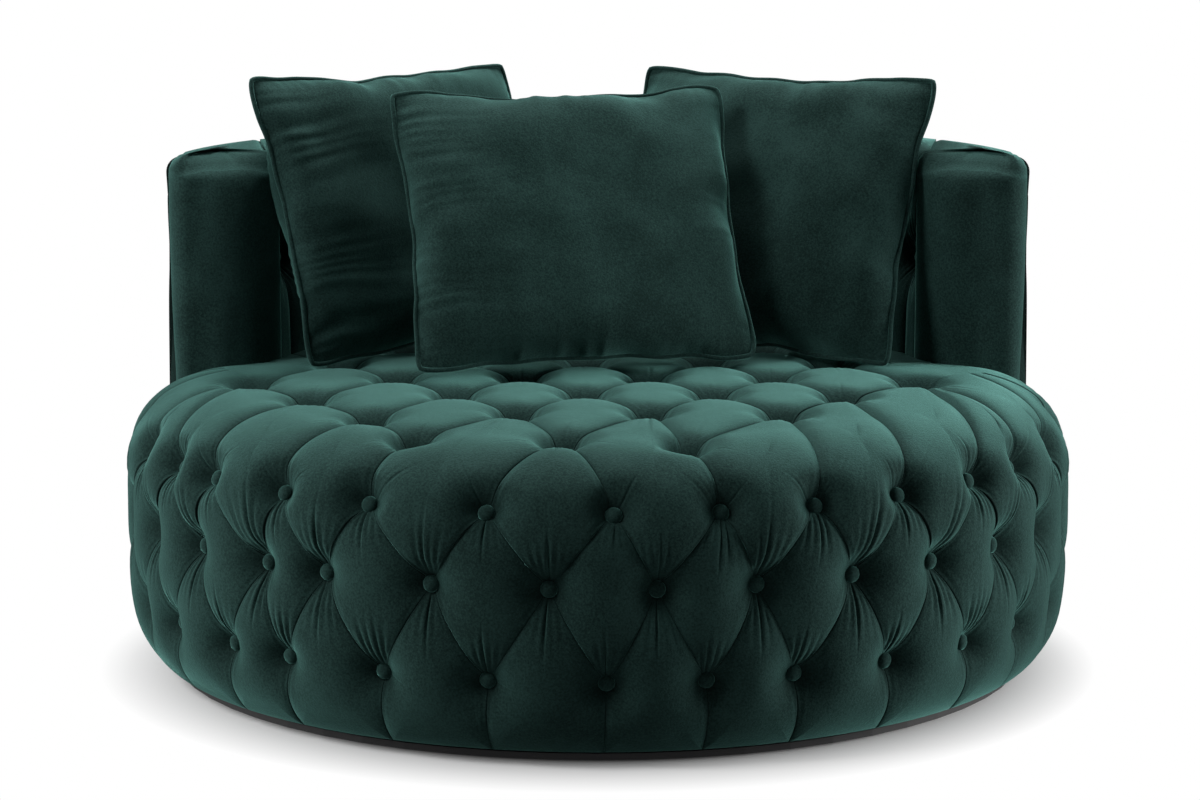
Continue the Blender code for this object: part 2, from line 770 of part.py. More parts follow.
def back_panel(shape, spots, cells, bare, place, section):
    """A tufted curved face closed by plain strips behind it; section gives each strip's place."""
    quilt = Quilt(shape, spots, place, pleat_between, bare)
    for cell in cells:
        quilt.cell(cell)
    last = 2 * BACK_BAYS

    def column_vertices(edge, tufted):
        found = []
        for column in range(last + 1):
            own = column % 2 == tufted or column in (0, last)
            if own:
                found.append(quilt.vertices[(edge, column)])
            else:
                found.append(quilt.vertices[frozenset(((edge, column - 1), (edge, column + 1)))])
        return found

    rows = [column_vertices("top", 0)]
    for strip in section:
        rows.append([shape.verts.new(strip(2.0 * column / last - 1.0)) for column in range(last + 1)])
    rows.append(column_vertices("bottom", 1))
    join_loops(shape, rows, closed=False)
    for column, near in ((0, 1), (last, last - 1)):
        low_side = quilt.vertices[frozenset((("bottom", column), ("tuft", column)))]
        high_side = quilt.vertices[frozenset((("tuft", column), ("top", column)))]
        face = [low_side, quilt.vertices[("tuft", column)], high_side]
        face += [row[column] for row in rows]
        shape.faces.new(face)


def strip_at(radius, height, reach):
    """One plain strip of the back: the place of a share from -1 to 1 along it."""
    return lambda share: from_back(reach * share, radius, height)


def make_back_inner_cover(body):
    shape = bmesh.new()
    spots, cells, bare = back_rows(INNER_ROW_FALLS, INNER_SEAM_ANGLE,
                                   BACK_BASE, BACK_TOP - EDGE_FALL, (INNER_HEM_DEPTH, INNER_TOP_DEPTH))

    def place(angle, height, depth):
        return from_back(angle, BACK_INNER_RADIUS + depth, height)

    back = BACK_INNER_RADIUS + INNER_PADDING
    bevel = WRAP_RADIUS - WRAP_BEVEL
    section = [
        strip_at(BACK_INNER_RADIUS + EDGE_BEND_DRAW, BACK_TOP - EDGE_BEND_FALL, INNER_SEAM_ANGLE),
        strip_at(BACK_INNER_RADIUS + EDGE_DRAW, BACK_TOP, INNER_SEAM_ANGLE),
        strip_at(bevel, BACK_TOP, seam_angle(bevel)),
        strip_at(WRAP_RADIUS, BACK_TOP - WRAP_BEVEL, TOP_SEAM_ANGLE),
        strip_at(WRAP_RADIUS, PADDING_TOP, TOP_SEAM_ANGLE),
        strip_at(back, PADDING_TOP, seam_angle(back)),
        strip_at(back, BACK_BASE, INNER_SEAM_ANGLE),
    ]
    back_panel(shape, spots, cells, bare, place, section)
    return add_object("back_inner_cover", shape, "velvet", body, smooth_angle=60.0)


def make_back_outer_cover(body):
    shape = bmesh.new()
    spots, cells, bare = back_rows(OUTER_ROW_FALLS, OUTER_SEAM_ANGLE,
                                   BACK_BASE, BACK_TOP - OUTER_EDGE_FALL, (OUTER_HEM_DEPTH, OUTER_HEM_DEPTH))

    def place(angle, height, depth):
        return from_back(angle, BACK_OUTER_RADIUS + BACK_BULGE - depth, height)

    back = BACK_OUTER_RADIUS - OUTER_PADDING
    rim = WRAP_RADIUS + 3.0 * GAP
    section = [
        strip_at(BACK_OUTER_RADIUS - OUTER_BEND_DRAW, BACK_TOP - OUTER_BEND_FALL, OUTER_SEAM_ANGLE),
        strip_at(rim, BACK_OUTER_TOP, OUTER_SEAM_ANGLE),
        strip_at(rim, PADDING_TOP, OUTER_SEAM_ANGLE),
        strip_at(back, PADDING_TOP, OUTER_SEAM_ANGLE),
        strip_at(back, BACK_BASE, OUTER_SEAM_ANGLE),
    ]
    back_panel(shape, spots, cells, bare, place, section)
    return add_object("back_outer_cover", shape, "velvet", body, smooth_angle=60.0)


def nose_outline(side, grow=0.0):
    """The arm's rounded end in plan, from its inner seam round to its outer one, with outward sides."""
    points = []
    start = from_back(INNER_SEAM_ANGLE, 1.0)
    centre = from_back(INNER_SEAM_ANGLE, BACK_INNER_RADIUS + NOSE_RADIUS)
    begin = math.atan2(-start.y, -start.x)
    for i in range(9):
        turn = begin + (2.0 * math.pi - math.pi / 2 - (begin % (2.0 * math.pi))) * i / 8
        nx, ny = math.cos(turn), math.sin(turn)
        points.append((centre.x + nx * NOSE_RADIUS, centre.y + ny * NOSE_RADIUS, nx, ny))
    finish = math.atan2(CORNER_Y, CORNER_X)
    for i in range(6):
        turn = -math.pi / 2 + (finish + math.pi / 2) * i / 5
        nx, ny = math.cos(turn), math.sin(turn)
        points.append((CORNER_X + nx * CORNER_RADIUS, CORNER_Y + ny * CORNER_RADIUS, nx, ny))
    return [((x + nx * grow) * side, y + ny * grow, nx * side, ny) for x, y, nx, ny in points]


def seam_gap(radius):
    """The angle that a seam's clearance takes at a radius."""
    return math.degrees(SEAM_WIDTH / radius)


def make_arm_front(body, side):
    """The plain padded end of the back, with a wedge that runs back over its top to the seam."""
    nose = nose_outline(side)
    inner = INNER_SEAM_ANGLE + seam_gap(BACK_INNER_RADIUS)
    outer = OUTER_SEAM_ANGLE + seam_gap(BACK_OUTER_RADIUS)
    overlap = SEAM_WIDTH

    def corner(angle, radius):
        point = from_back(angle, radius)
        return (point.x * side, point.y, 0.0, 0.0)

    first = from_back(inner, BACK_INNER_RADIUS)
    radial = from_back(inner, -1.0)
    lead = [(first.x * side, first.y, radial.x * side, radial.y)]
    lower = lead + nose[1:]
    lower += [corner(outer, BACK_OUTER_RADIUS), corner(outer, OUTER_SKIN)]
    lower += [corner((inner + outer) / 2, OUTER_SKIN), corner(inner, OUTER_SKIN)]
    shape = bmesh.new()
    prism(shape, lower, ((BACK_BASE, 0.0), (PADDING_TOP + overlap, 0.0)))
    panel = add_object("arm_front_" + ("left" if side < 0 else "right"), shape, "velvet", body)

    rim = WRAP_RADIUS
    upper = lead + nose[1:]
    upper.append(corner(outer, BACK_OUTER_RADIUS))
    steps = 4
    for i in range(steps):
        upper.append(corner(outer + (TOP_SEAM_ANGLE - outer) * i / steps, rim))
    seam_ends = [top_seam(r, SEAM_WIDTH) for r in (rim, BACK_INNER_RADIUS + EDGE_DRAW)]
    upper += [(p.x * side, p.y, 0.0, 0.0) for p in seam_ends]
    shape = bmesh.new()
    layers = ((PADDING_TOP, 0.0), (BACK_TOP - EDGE_FALL, 0.0),
              (BACK_TOP - EDGE_BEND_FALL, EDGE_BEND_DRAW), (BACK_TOP, EDGE_DRAW - SEAM_WIDTH))
    prism(shape, upper, layers)
    wedge = add_object("guide_arm_top_" + ("left" if side < 0 else "right"), shape, "velvet", body)
    fuse(panel, wedge)


def back_footprint(body):
    """Guide: the space that the back takes out of the seat's top, down to its flat floor."""
    right = nose_outline(1, BACK_ROOM)
    outline = [(x, y, 0.0, 0.0) for x, y, nx, ny in right]
    steps = 24
    for i in range(steps + 1):
        angle = OUTER_SEAM_ANGLE - 2.0 * OUTER_SEAM_ANGLE * i / steps
        point = from_back(angle, BACK_OUTER_RADIUS + BACK_BULGE + BACK_ROOM)
        outline.append((point.x, point.y, 0.0, 0.0))
    outline += [(-x, y, 0.0, 0.0) for x, y, nx, ny in reversed(right)]
    for i in range(1, steps):
        angle = -INNER_SEAM_ANGLE + 2.0 * INNER_SEAM_ANGLE * i / steps
        point = from_back(angle, BACK_INNER_RADIUS - BACK_ROOM)
        outline.append((point.x, point.y, 0.0, 0.0))
    shape = bmesh.new()
    prism(shape, outline, ((BACK_FLOOR, 0.0), (BACK_TOP, 0.0)))
    return add_object("cutter_back_footprint", shape, "velvet", body)


def bolt_places():
    middle = (RAIL_INNER + RAIL_OUTER) / 2
    return [from_back(angle, middle) for angle in BOLT_ANGLES]


def bolt_clearance(body):
    """Guide: the holes that the bolts pass through, blind in the deck ring."""
    shape = bmesh.new()
    for place in bolt_places():
        disc(shape, place, BOLT_RADIUS + GAP, DECK_HEIGHT - BOLT_DEPTH - GAP, BACK_TOP, BOLT_SIDES)
    return add_object("cutter_bolts", shape, "steel", body)


def make_back_frame(body):
    rail_top = BACK_BASE + RAIL_THICKNESS
    shape = bmesh.new()
    sector(shape, RAIL_INNER, RAIL_OUTER, BACK_BASE, rail_top, RAIL_ANGLE, RAIL_STEPS)
    bottom = add_object("back_bottom_rail", shape, "plywood", body)
    cut(bottom, bpy.data.objects["cutter_bolts"])
    shape = bmesh.new()
    sector(shape, RAIL_INNER, RAIL_OUTER, FRAME_TOP - RAIL_THICKNESS, FRAME_TOP, RAIL_ANGLE, RAIL_STEPS)
    add_object("back_top_rail", shape, "plywood", body)
    shape = bmesh.new()
    low = rail_top + GAP
    high = FRAME_TOP - RAIL_THICKNESS - GAP
    depth = RAIL_OUTER - RAIL_INNER - BACK_POST_ROOM
    block(shape, Matrix.Identity(4), (BACK_POST_WIDTH, depth, high - low))
    middle = (RAIL_INNER + RAIL_OUTER) / 2
    places = [(from_back(angle, middle, (low + high) / 2), -angle) for angle in BACK_POST_ANGLES]
    add_copies("back_post", shape, "plywood", body, places)
    for name, inner in (("back_inner_skin", INNER_SKIN), ("back_outer_skin", RAIL_OUTER + GAP)):
        shape = bmesh.new()
        sector(shape, inner, inner + BACK_SKIN_THICKNESS, BACK_BASE, FRAME_TOP, RAIL_ANGLE, RAIL_STEPS)
        add_object(name, shape, "hardboard", body)


def make_back_bolts(body):
    shape = bmesh.new()
    seat = BACK_BASE + RAIL_THICKNESS + GAP
    foot = DECK_HEIGHT - BOLT_DEPTH
    profile = ((0.0, foot), (BOLT_RADIUS, foot), (BOLT_RADIUS, seat), (BOLT_HEAD_RADIUS, seat),
               (BOLT_HEAD_RADIUS, seat + BOLT_HEAD_HEIGHT), (0.0, seat + BOLT_HEAD_HEIGHT))
    spin_solid(shape, profile, BOLT_SIDES)
    add_copies("back_bolt", shape, "steel", body, [(place, 0.0) for place in bolt_places()])


def spin_solid(shape, profile, sides):
    """A turned solid whose profile starts and ends on the upright axis."""
    first = shape.verts.new((0.0, 0.0, profile[0][1]))
    last = shape.verts.new((0.0, 0.0, profile[-1][1]))
    loops = []
    for r, z in profile[1:-1]:
        loops.append([shape.verts.new(around(360.0 * i / sides, r, z)) for i in range(sides)])
    join_loops(shape, loops, closed=True)
    for i in range(sides):
        j = (i + 1) % sides
        shape.faces.new((first, loops[0][i], loops[0][j]))
        shape.faces.new((last, loops[-1][j], loops[-1][i]))


# Drum frame and suspension

def make_drum_frame(body):
    shape = bmesh.new()
    disc(shape, (0.0, 0.0), FRAME_RADIUS, BOARD_BOTTOM, BOARD_TOP, ROUND)
    add_object("base_board", shape, "plywood", body)

    shape = bmesh.new()
    low, high = BOARD_TOP + GAP, RING_BOTTOM - GAP
    reach = math.sqrt(FRAME_RADIUS ** 2 - (POST_SIZE / 2) ** 2) - POST_SIZE / 2 - RUNNING
    block(shape, Matrix.Identity(4), (POST_SIZE, POST_SIZE, high - low))
    angles = [360.0 * (i + 0.5) / POST_COUNT for i in range(POST_COUNT)]
    places = [(around(angle, reach, (low + high) / 2), angle) for angle in angles]
    add_copies("drum_post", shape, "plywood", body, places)

    shape = bmesh.new()
    turned(shape, ((RING_BORE, RING_BOTTOM), (FRAME_RADIUS, RING_BOTTOM),
                   (FRAME_RADIUS, RING_TOP), (RING_BORE, RING_TOP)), ROUND)
    add_object("seat_ring", shape, "plywood", body)

    shape = bmesh.new()
    turned(shape, ((DECK_BORE, DECK_BOTTOM), (FRAME_RADIUS, DECK_BOTTOM),
                   (FRAME_RADIUS, DECK_HEIGHT), (DECK_BORE, DECK_HEIGHT)), ROUND)
    deck = add_object("deck_ring", shape, "plywood", body)
    cut(deck, bpy.data.objects["cutter_bolts"])

    shape = bmesh.new()
    turned(shape, ((SKIN_INNER, BOARD_BOTTOM), (SKIN_OUTER, BOARD_BOTTOM),
                   (SKIN_OUTER, DECK_HEIGHT), (SKIN_INNER, DECK_HEIGHT)), ROUND)
    add_object("drum_skin", shape, "hardboard", body)


def straps(shape, bottom, turn):
    """Parallel straps across the ring, each as long as the ring is wide there."""
    for i in range(STRAP_COUNT):
        offset = (i - (STRAP_COUNT - 1) / 2) * STRAP_PITCH
        half = math.sqrt(STRAP_REACH ** 2 - (abs(offset) + STRAP_WIDTH / 2) ** 2)
        place = Matrix.Rotation(math.radians(turn), 4, "Z")
        place = place @ Matrix.Translation((offset, 0.0, bottom + STRAP_THICKNESS / 2))
        block(shape, place, (STRAP_WIDTH, 2.0 * half, STRAP_THICKNESS))


def make_webbing(body):
    """Straps both ways in one layer, stitched where they cross."""
    shape = bmesh.new()
    straps(shape, STRAP_HEIGHT, 90.0)
    crosswise = add_object("guide_crosswise_straps", shape, "webbing", body)
    shape = bmesh.new()
    straps(shape, STRAP_HEIGHT, 0.0)
    webbing = add_object("seat_webbing", shape, "webbing", body)
    fuse(webbing, crosswise)


def make_seat_foam(body):
    shape = bmesh.new()
    radius = DECK_BORE * math.cos(math.pi / ROUND) - GAP
    disc(shape, (0.0, 0.0), radius, DECK_BOTTOM, DECK_HEIGHT, ROUND)
    add_object("seat_foam", shape, "foam", body)


# Base and turntable

def ring_of_places(count, radius, height, start=0.0):
    angles = [360.0 * (i + start) / count for i in range(count)]
    return [(around(angle, radius, height), angle) for angle in angles]


def make_base(body):
    shape = bmesh.new()
    disc(shape, (0.0, 0.0), PAD_RADIUS, 0.0, PAD_HEIGHT, 16)
    add_copies("glide_pad", shape, "felt", body, ring_of_places(PAD_COUNT, PLINTH_RADIUS - PAD_INSET, 0.0, 0.5))
    shape = bmesh.new()
    disc(shape, (0.0, 0.0), PLINTH_RADIUS, PLINTH_BOTTOM, PLINTH_TOP, ROUND)
    add_object("floor_plinth", shape, "plinth_black", body)


def plate_profile(level, race_side):
    """A turned plate's profile, with a shallow ball race pressed into its upper or lower face."""
    low, high = level, level + PLATE_THICKNESS
    half = RACE_WIDTH / 2
    if race_side > 0:
        return ((PLATE_BORE, low), (PLATE_RADIUS, low), (PLATE_RADIUS, high), (RACE_RADIUS + half, high),
                (RACE_RADIUS, high - RACE_DEPTH), (RACE_RADIUS - half, high), (PLATE_BORE, high))
    return ((PLATE_BORE, low), (RACE_RADIUS - half, low), (RACE_RADIUS, low + RACE_DEPTH),
            (RACE_RADIUS + half, low), (PLATE_RADIUS, low), (PLATE_RADIUS, high), (PLATE_BORE, high))


def make_turntable(base, seat):
    shape = bmesh.new()
    turned(shape, plate_profile(LOWER_PLATE, 1), 48)
    add_object("turntable_lower_plate", shape, "steel", base)
    shape = bmesh.new()
    bmesh.ops.create_uvsphere(shape, u_segments=8, v_segments=6, radius=BALL_RADIUS)
    places = ring_of_places(BALL_COUNT, RACE_RADIUS, BALL_HEIGHT)
    add_copies("turntable_ball", shape, "steel", base, places, smooth_angle=80.0)
    shape = bmesh.new()
    turned(shape, plate_profile(UPPER_PLATE, -1), 48)
    add_object("turntable_upper_plate", shape, "steel", seat)
    shape = bmesh.new()
    disc(shape, (0.0, 0.0), SLIDER_RADIUS, PLINTH_TOP + RUNNING, BOARD_BOTTOM - GAP, 16)
    places = ring_of_places(SLIDER_COUNT, PLINTH_RADIUS - SLIDER_INSET, 0.0, 0.5)
    add_copies("anti_tip_slider", shape, "nylon", seat, places)


# Pillows

def pillow_edge(a, b):
    """A pillow's flat plan at shares a, b from -1 to 1: sides drawn in between pointed corners."""
    x = a * (PILLOW_WIDTH / 2 - PILLOW_DRAW * (1.0 - b * b) * abs(a))
    z = b * (PILLOW_HEIGHT / 2 - PILLOW_DRAW * (1.0 - a * a) * abs(b))
    return x, z


def make_pillow(name, body):
    """A crowned cushion, widest at its middle and thin along its seams, standing upright at the origin."""
    shape = bmesh.new()
    count = PILLOW_CELLS
    rows = {}
    for face in (-1, 1):
        for i in range(count + 1):
            for j in range(count + 1):
                a, b = 2.0 * i / count - 1.0, 2.0 * j / count - 1.0
                a, b = math.sin(a * math.pi / 2), math.sin(b * math.pi / 2)
                x, z = pillow_edge(a, b)
                edge = i in (0, count) or j in (0, count)
                key = (i, j) if edge else (i, j, face)
                if key not in rows:
                    swell = 0.0 if edge else ((1.0 - a * a) * (1.0 - b * b)) ** PILLOW_FULLNESS
                    rows[key] = shape.verts.new((x, face * swell * PILLOW_THICKNESS / 2, z))
        for i in range(count):
            for j in range(count):
                ring = ((i, j), (i + 1, j), (i + 1, j + 1), (i, j + 1))
                corners = [rows[k] if k in rows else rows[(*k, face)] for k in ring]
                if (i < count / 2) != (j < count / 2):
                    corners = corners[1:] + corners[:1]
                shape.faces.new((corners[0], corners[1], corners[2]))
                shape.faces.new((corners[0], corners[2], corners[3]))
    return add_object("pillow_" + name, shape, "velvet_pillow", body, smooth_angle=60.0)


def make_piping(name, body):
    """The corded seam that runs round the pillow just outside its edge."""
    count = PILLOW_CELLS
    shares = [math.sin((2.0 * i / count - 1.0) * math.pi / 2) for i in range(count + 1)]
    edge = [pillow_edge(s, -1.0) for s in shares] + [pillow_edge(1.0, s) for s in shares[1:]]
    edge += [pillow_edge(s, 1.0) for s in reversed(shares[:-1])]
    edge += [pillow_edge(-1.0, s) for s in reversed(shares[1:-1])]
    shape = bmesh.new()
    sides = PIPING_SIDES
    reach = PIPING_RADIUS / math.cos(math.pi / sides) + GAP
    loops = []
    for i, (x, z) in enumerate(edge):
        before, after = Vector(edge[i - 1]), Vector(edge[(i + 1) % len(edge)])
        here = Vector((x, z))
        one, two = (here - before).normalized(), (after - here).normalized()
        out = (Vector((one.y, -one.x)) + Vector((two.y, -two.x))).normalized()
        stretch = 1.0 / max(0.5, out.dot(Vector((one.y, -one.x))))
        centre = here + out * reach * stretch
        loop = []
        for k in range(sides):
            turn = 2.0 * math.pi * k / sides
            side = centre + out * (PIPING_RADIUS * stretch * math.cos(turn))
            loop.append(shape.verts.new((side.x, PIPING_RADIUS * math.sin(turn), side.y)))
        loops.append(loop)
    join_loops(shape, loops + [loops[0]], closed=True)
    return add_object("piping_" + name, shape, "velvet_pillow", body, smooth_angle=80.0)


def settle(pieces, support, start):
    """Lowers pieces by their origin's height until the nearest touches the support, less the gap."""
    floor = evaluated_tree(support)
    drop = 1.0
    for piece in pieces:
        piece.location.z = start
        bpy.context.view_layer.update()
        for vertex in piece.data.vertices:
            point = piece.matrix_world @ vertex.co
            hit = floor.ray_cast(point, Vector((0.0, 0.0, -1.0)))[0]
            if hit:
                drop = min(drop, point.z - hit.z)
        own = evaluated_tree(piece)
        for vertex in support.data.vertices:
            hit = own.ray_cast(vertex.co, Vector((0.0, 0.0, 1.0)))[0]
            if hit:
                drop = min(drop, hit.z - vertex.co.z)
    for piece in pieces:
        piece.location.z = start - drop + GAP


def evaluated_tree(piece):
    """A search tree over a piece's finished faces in world space."""
    graph = bpy.context.evaluated_depsgraph_get()
    shape = bmesh.new()
    shape.from_object(piece, graph)
    shape.transform(piece.matrix_world)
    tree = BVHTree.FromBMesh(shape)
    shape.free()
    return tree


def make_pillows(body, seat_cover):
    for name, angle, inset, turn, lean, roll in PILLOWS:
        place = from_back(angle, BACK_INNER_RADIUS - inset)
        pieces = [make_pillow(name, body), make_piping(name, body)]
        rotation = Matrix.Rotation(math.radians(turn), 4, "Z")
        rotation = rotation @ Matrix.Rotation(-math.radians(lean), 4, "X")
        rotation = rotation @ Matrix.Rotation(math.radians(roll), 4, "Y")
        for piece in pieces:
            piece.rotation_euler = rotation.to_euler()
            piece.location = place
        settle(pieces, seat_cover, BACK_TOP)


def main():
    clear_scene()
    base = add_body("floor_base")
    seat = add_body("seat")
    make_base(base)
    make_turntable(base, seat)
    seat_cover = make_seat_cover(seat)
    make_side_cover(seat)
    make_drum_frame(seat)
    make_webbing(seat)
    make_seat_foam(seat)
    make_back_frame(seat)
    make_back_bolts(seat)
    make_back_inner_cover(seat)
    make_back_outer_cover(seat)
    for side in (-1, 1):
        make_arm_front(seat, side)
    make_pillows(seat, seat_cover)


main()
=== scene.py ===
"""Round tufted swivel loveseat in deep green velvet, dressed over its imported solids.

Metres, +Z up. The front faces -Y and the origin is on the floor under the middle of the round seat.
Angles run from the front towards +X on the drum, and from the rear towards +X on the back.
"""

import json
import math

import bmesh
import bpy
import numpy as np
from bpy.props import FloatProperty, FloatVectorProperty, IntProperty, PointerProperty
from mathutils import Matrix, Vector, noise


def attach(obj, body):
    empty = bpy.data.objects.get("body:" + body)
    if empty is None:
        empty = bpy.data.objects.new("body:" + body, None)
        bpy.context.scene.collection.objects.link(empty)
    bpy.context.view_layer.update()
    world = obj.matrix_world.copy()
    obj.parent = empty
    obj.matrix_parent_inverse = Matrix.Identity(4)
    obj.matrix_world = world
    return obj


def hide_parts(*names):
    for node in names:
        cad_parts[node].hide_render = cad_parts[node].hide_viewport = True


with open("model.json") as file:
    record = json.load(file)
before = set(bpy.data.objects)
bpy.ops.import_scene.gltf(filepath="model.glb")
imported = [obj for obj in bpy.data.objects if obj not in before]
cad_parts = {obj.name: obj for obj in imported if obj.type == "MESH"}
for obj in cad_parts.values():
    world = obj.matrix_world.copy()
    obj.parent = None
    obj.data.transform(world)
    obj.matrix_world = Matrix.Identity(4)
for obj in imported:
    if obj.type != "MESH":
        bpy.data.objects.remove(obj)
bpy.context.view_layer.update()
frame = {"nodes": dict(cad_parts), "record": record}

bl_info = {
    "name": "Round tufted loveseat",
    "version": (1, 0, 0),
    "blender": (4, 5, 0),
    "location": "View3D > Sidebar > Loveseat",
    "description": "Builds a round tufted velvet loveseat with a buttoned back and three piped pillows",
    "category": "Add Mesh",
}

SEAT_BODY = "seat"


# Settings that a user would change

def length(name, description, default):
    return FloatProperty(name=name, description=description, default=default, unit="LENGTH", subtype="DISTANCE",
                         precision=4)


def angle(name, description, default):
    """An angle setting, given in degrees and kept in radians as Blender's angle properties are."""
    return FloatProperty(name=name, description=description, default=math.radians(default), subtype="ANGLE")


def share(name, description, default):
    return FloatProperty(name=name, description=description, default=default, min=0.0, max=1.0, subtype="FACTOR")


def colour(name, description, default):
    return FloatVectorProperty(name=name, description=description, default=default, size=3, subtype="COLOR",
                               min=0.0, max=1.0)


class DrumSettings(bpy.types.PropertyGroup):
    crown_height: length("Crown height", "Top of the seat above the floor", 0.406)
    crown_fall: length("Crown fall", "How far the seat's top drops towards its rim", 0.008)
    shoulder_radius: length("Shoulder radius", "Radius at which the top starts to roll over the rim", 0.500)
    waist_radius: length("Waist radius", "Widest radius of the drum", 0.664)
    waist_height: length("Waist height", "Height of the widest place", 0.270)
    hem_radius: length("Hem radius", "Radius of the lower edge", 0.617)
    hem_height: length("Hem height", "Height of the lower edge", 0.0152)
    inner_radius: length("Inner radius", "Hidden side of the padding", 0.594)
    floor_height: length("Cover floor", "Hidden underside of the seat's padding", 0.346)
    bays: IntProperty(name="Bays", description="Diamonds round the drum", default=30, min=6)
    top_row: length("Top row", "Height of the uppermost side buttons", 0.334)
    middle_row: length("Middle row", "Height of the middle side buttons", 0.230)
    low_row: length("Low row", "Height of the lowest side buttons", 0.108)
    pitch_across: length("Pitch across", "Distance between buttons along a row on top", 0.175)
    pitch_along: length("Pitch along", "Distance between rows on top", 0.134)
    shift: length("Shift", "Sideways place of the rows on top", -0.018)
    field_radius: length("Field radius", "Reach of the straight rows on top", 0.465)
    ring_radius: length("Ring radius", "Radius of the ring of buttons inside the rim", 0.505)
    top_depth: length("Top depth", "Depth of the buttons on top", 0.039)
    side_depth: length("Side depth", "Depth of the buttons on the side", 0.031)


class BackSettings(bpy.types.PropertyGroup):
    inner_radius: length("Inner radius", "Face of the back towards the seat", 0.478)
    outer_radius: length("Outer radius", "Face of the back away from the seat", 0.620)
    top: length("Top", "Top of the back above the floor", 0.700)
    base: length("Base", "Underside of the back, in the seat's recess", 0.3501)
    bulge: length("Bulge", "How far the outer cover stands proud", 0.010)
    padding_top: length("Padding top", "Top of the frame under the padding", 0.6603)
    inner_padding: length("Inner padding", "Padding over the frame inside", 0.037)
    outer_padding: length("Outer padding", "Padding over the frame outside", 0.0426)
    wrap_radius: length("Wrap radius", "Where the inner cover ends on the top", 0.604)
    inner_seam: angle("Inner seam", "End of the inner cover, from the back", 74.0)
    outer_seam: angle("Outer seam", "End of the outer cover, from the back", 80.0)
    top_seam: angle("Top seam", "End of the inner cover on its outer edge", 57.0)
    bays: IntProperty(name="Bays", description="Buttons across the back", default=15, min=3)
    tuft_depth: length("Tuft depth", "Depth of the buttons", 0.028)
    nose: length("Nose", "Radius of each arm's rounded inner end", 0.095)
    corner: length("Corner", "Radius of each arm's outer corner", 0.030)


class PillowSettings(bpy.types.PropertyGroup):
    width: length("Width", "Width of a filled pillow", 0.500)
    height: length("Height", "Height of a filled pillow", 0.430)
    thickness: length("Thickness", "Thickness at the middle", 0.125)
    draw: length("Draw", "How far the sides draw in between the corners", 0.018)
    piping: length("Piping", "Radius of the piping", 0.0035)
    pressure: FloatProperty(name="Pressure", description="Pressure of the filling", default=2.0, min=0.0)
    fill: share("Fill", "How tight the filling is", 0.65)


class ButtonSettings(bpy.types.PropertyGroup):
    radius: length("Radius", "Radius of a covered button", 0.0112)
    height: length("Height", "How far a button domes out", 0.0070)
    seed: IntProperty(name="Seed", description="Seed of the buttons' slight tilts", default=7)


class VelvetSettings(bpy.types.PropertyGroup):
    shade: colour("Shade", "Velvet lying away from the light", (0.0085, 0.0222, 0.0197))
    tint: colour("Tint", "Velvet brushed towards the light", (0.0235, 0.0595, 0.0532))
    sheen: share("Sheen", "Strength of the velvet's glow", 0.5)
    mottle: share("Mottle", "Strength of the brushed patches", 0.5)


class StageSettings(bpy.types.PropertyGroup):
    distance: length("Camera distance", "From the camera to the drum's axis", 4.5)
    eye_height: length("Eye height", "Height of the camera", 1.12)
    eye_side: length("Eye side", "How far right of the axis the camera stands", 0.003)
    pitch: angle("Pitch", "How far the camera looks down", 9.6)
    lens: FloatProperty(name="Lens", description="Focal length in millimetres", default=96.75)


def settings(name):
    return getattr(bpy.context.scene, "loveseat_" + name)


# Objects and meshes

def placed(name, data):
    """A new object in the scene."""
    made = bpy.data.objects.new(name, data)
    bpy.context.scene.collection.objects.link(made)
    return made


def plain_copy(piece, name):
    """The evaluated piece as a plain mesh object, with the source removed."""
    graph = bpy.context.evaluated_depsgraph_get()
    mesh = bpy.data.meshes.new_from_object(piece.evaluated_get(graph))
    mesh.name = name
    bpy.data.objects.remove(piece, do_unlink=True)
    return placed(name, mesh)


def noises(places, scale=1.0, shift=(0.0, 0.0, 0.0)):
    """Smooth noise at each place, times the scale and moved by the shift."""
    return np.array([noise.noise(Vector(p) * scale + Vector(shift)) for p in places])


def appended(points, more):
    """Adds points to a list and returns their indices."""
    first = len(points)
    points.extend(more)
    return list(range(first, len(points)))


def bridge(rows, closed=True):
    """Quads between rows of as many vertices, which run round or end."""
    faces = []
    for near, far in zip(rows, rows[1:]):
        for i in range(len(near) if closed else len(near) - 1):
            j = (i + 1) % len(near)
            faces.append((near[i], near[j], far[j], far[i]))
    return faces


def fold_shade(mesh, points, creases, pits):
    """How much painted shade each vertex takes: 1 on a pleat, less on its lips, and painted shade that fades out
    round each button's pit.
    """
    shade = np.zeros(len(points))
    for line in creases:
        shade[line] = 1.0
    pairs = np.array([edge.vertices for edge in mesh.edges])
    for weight in (0.85, 0.6, 0.3):
        reached = shade > 0.0
        for near, far in (pairs.T, pairs.T[::-1]):
            shade[far[reached[near] & ~reached[far]]] = weight
    places = np.array(points)
    for pit in pits:
        away = np.linalg.norm(places - pit, axis=1)
        # painted shade in the dimples round the buttons, where shade falls in the pits
        shade = np.maximum(shade, 0.85 * np.exp(-(away / PAINTED_PIT_SHADE_RADIUS) ** 2))
    return shade


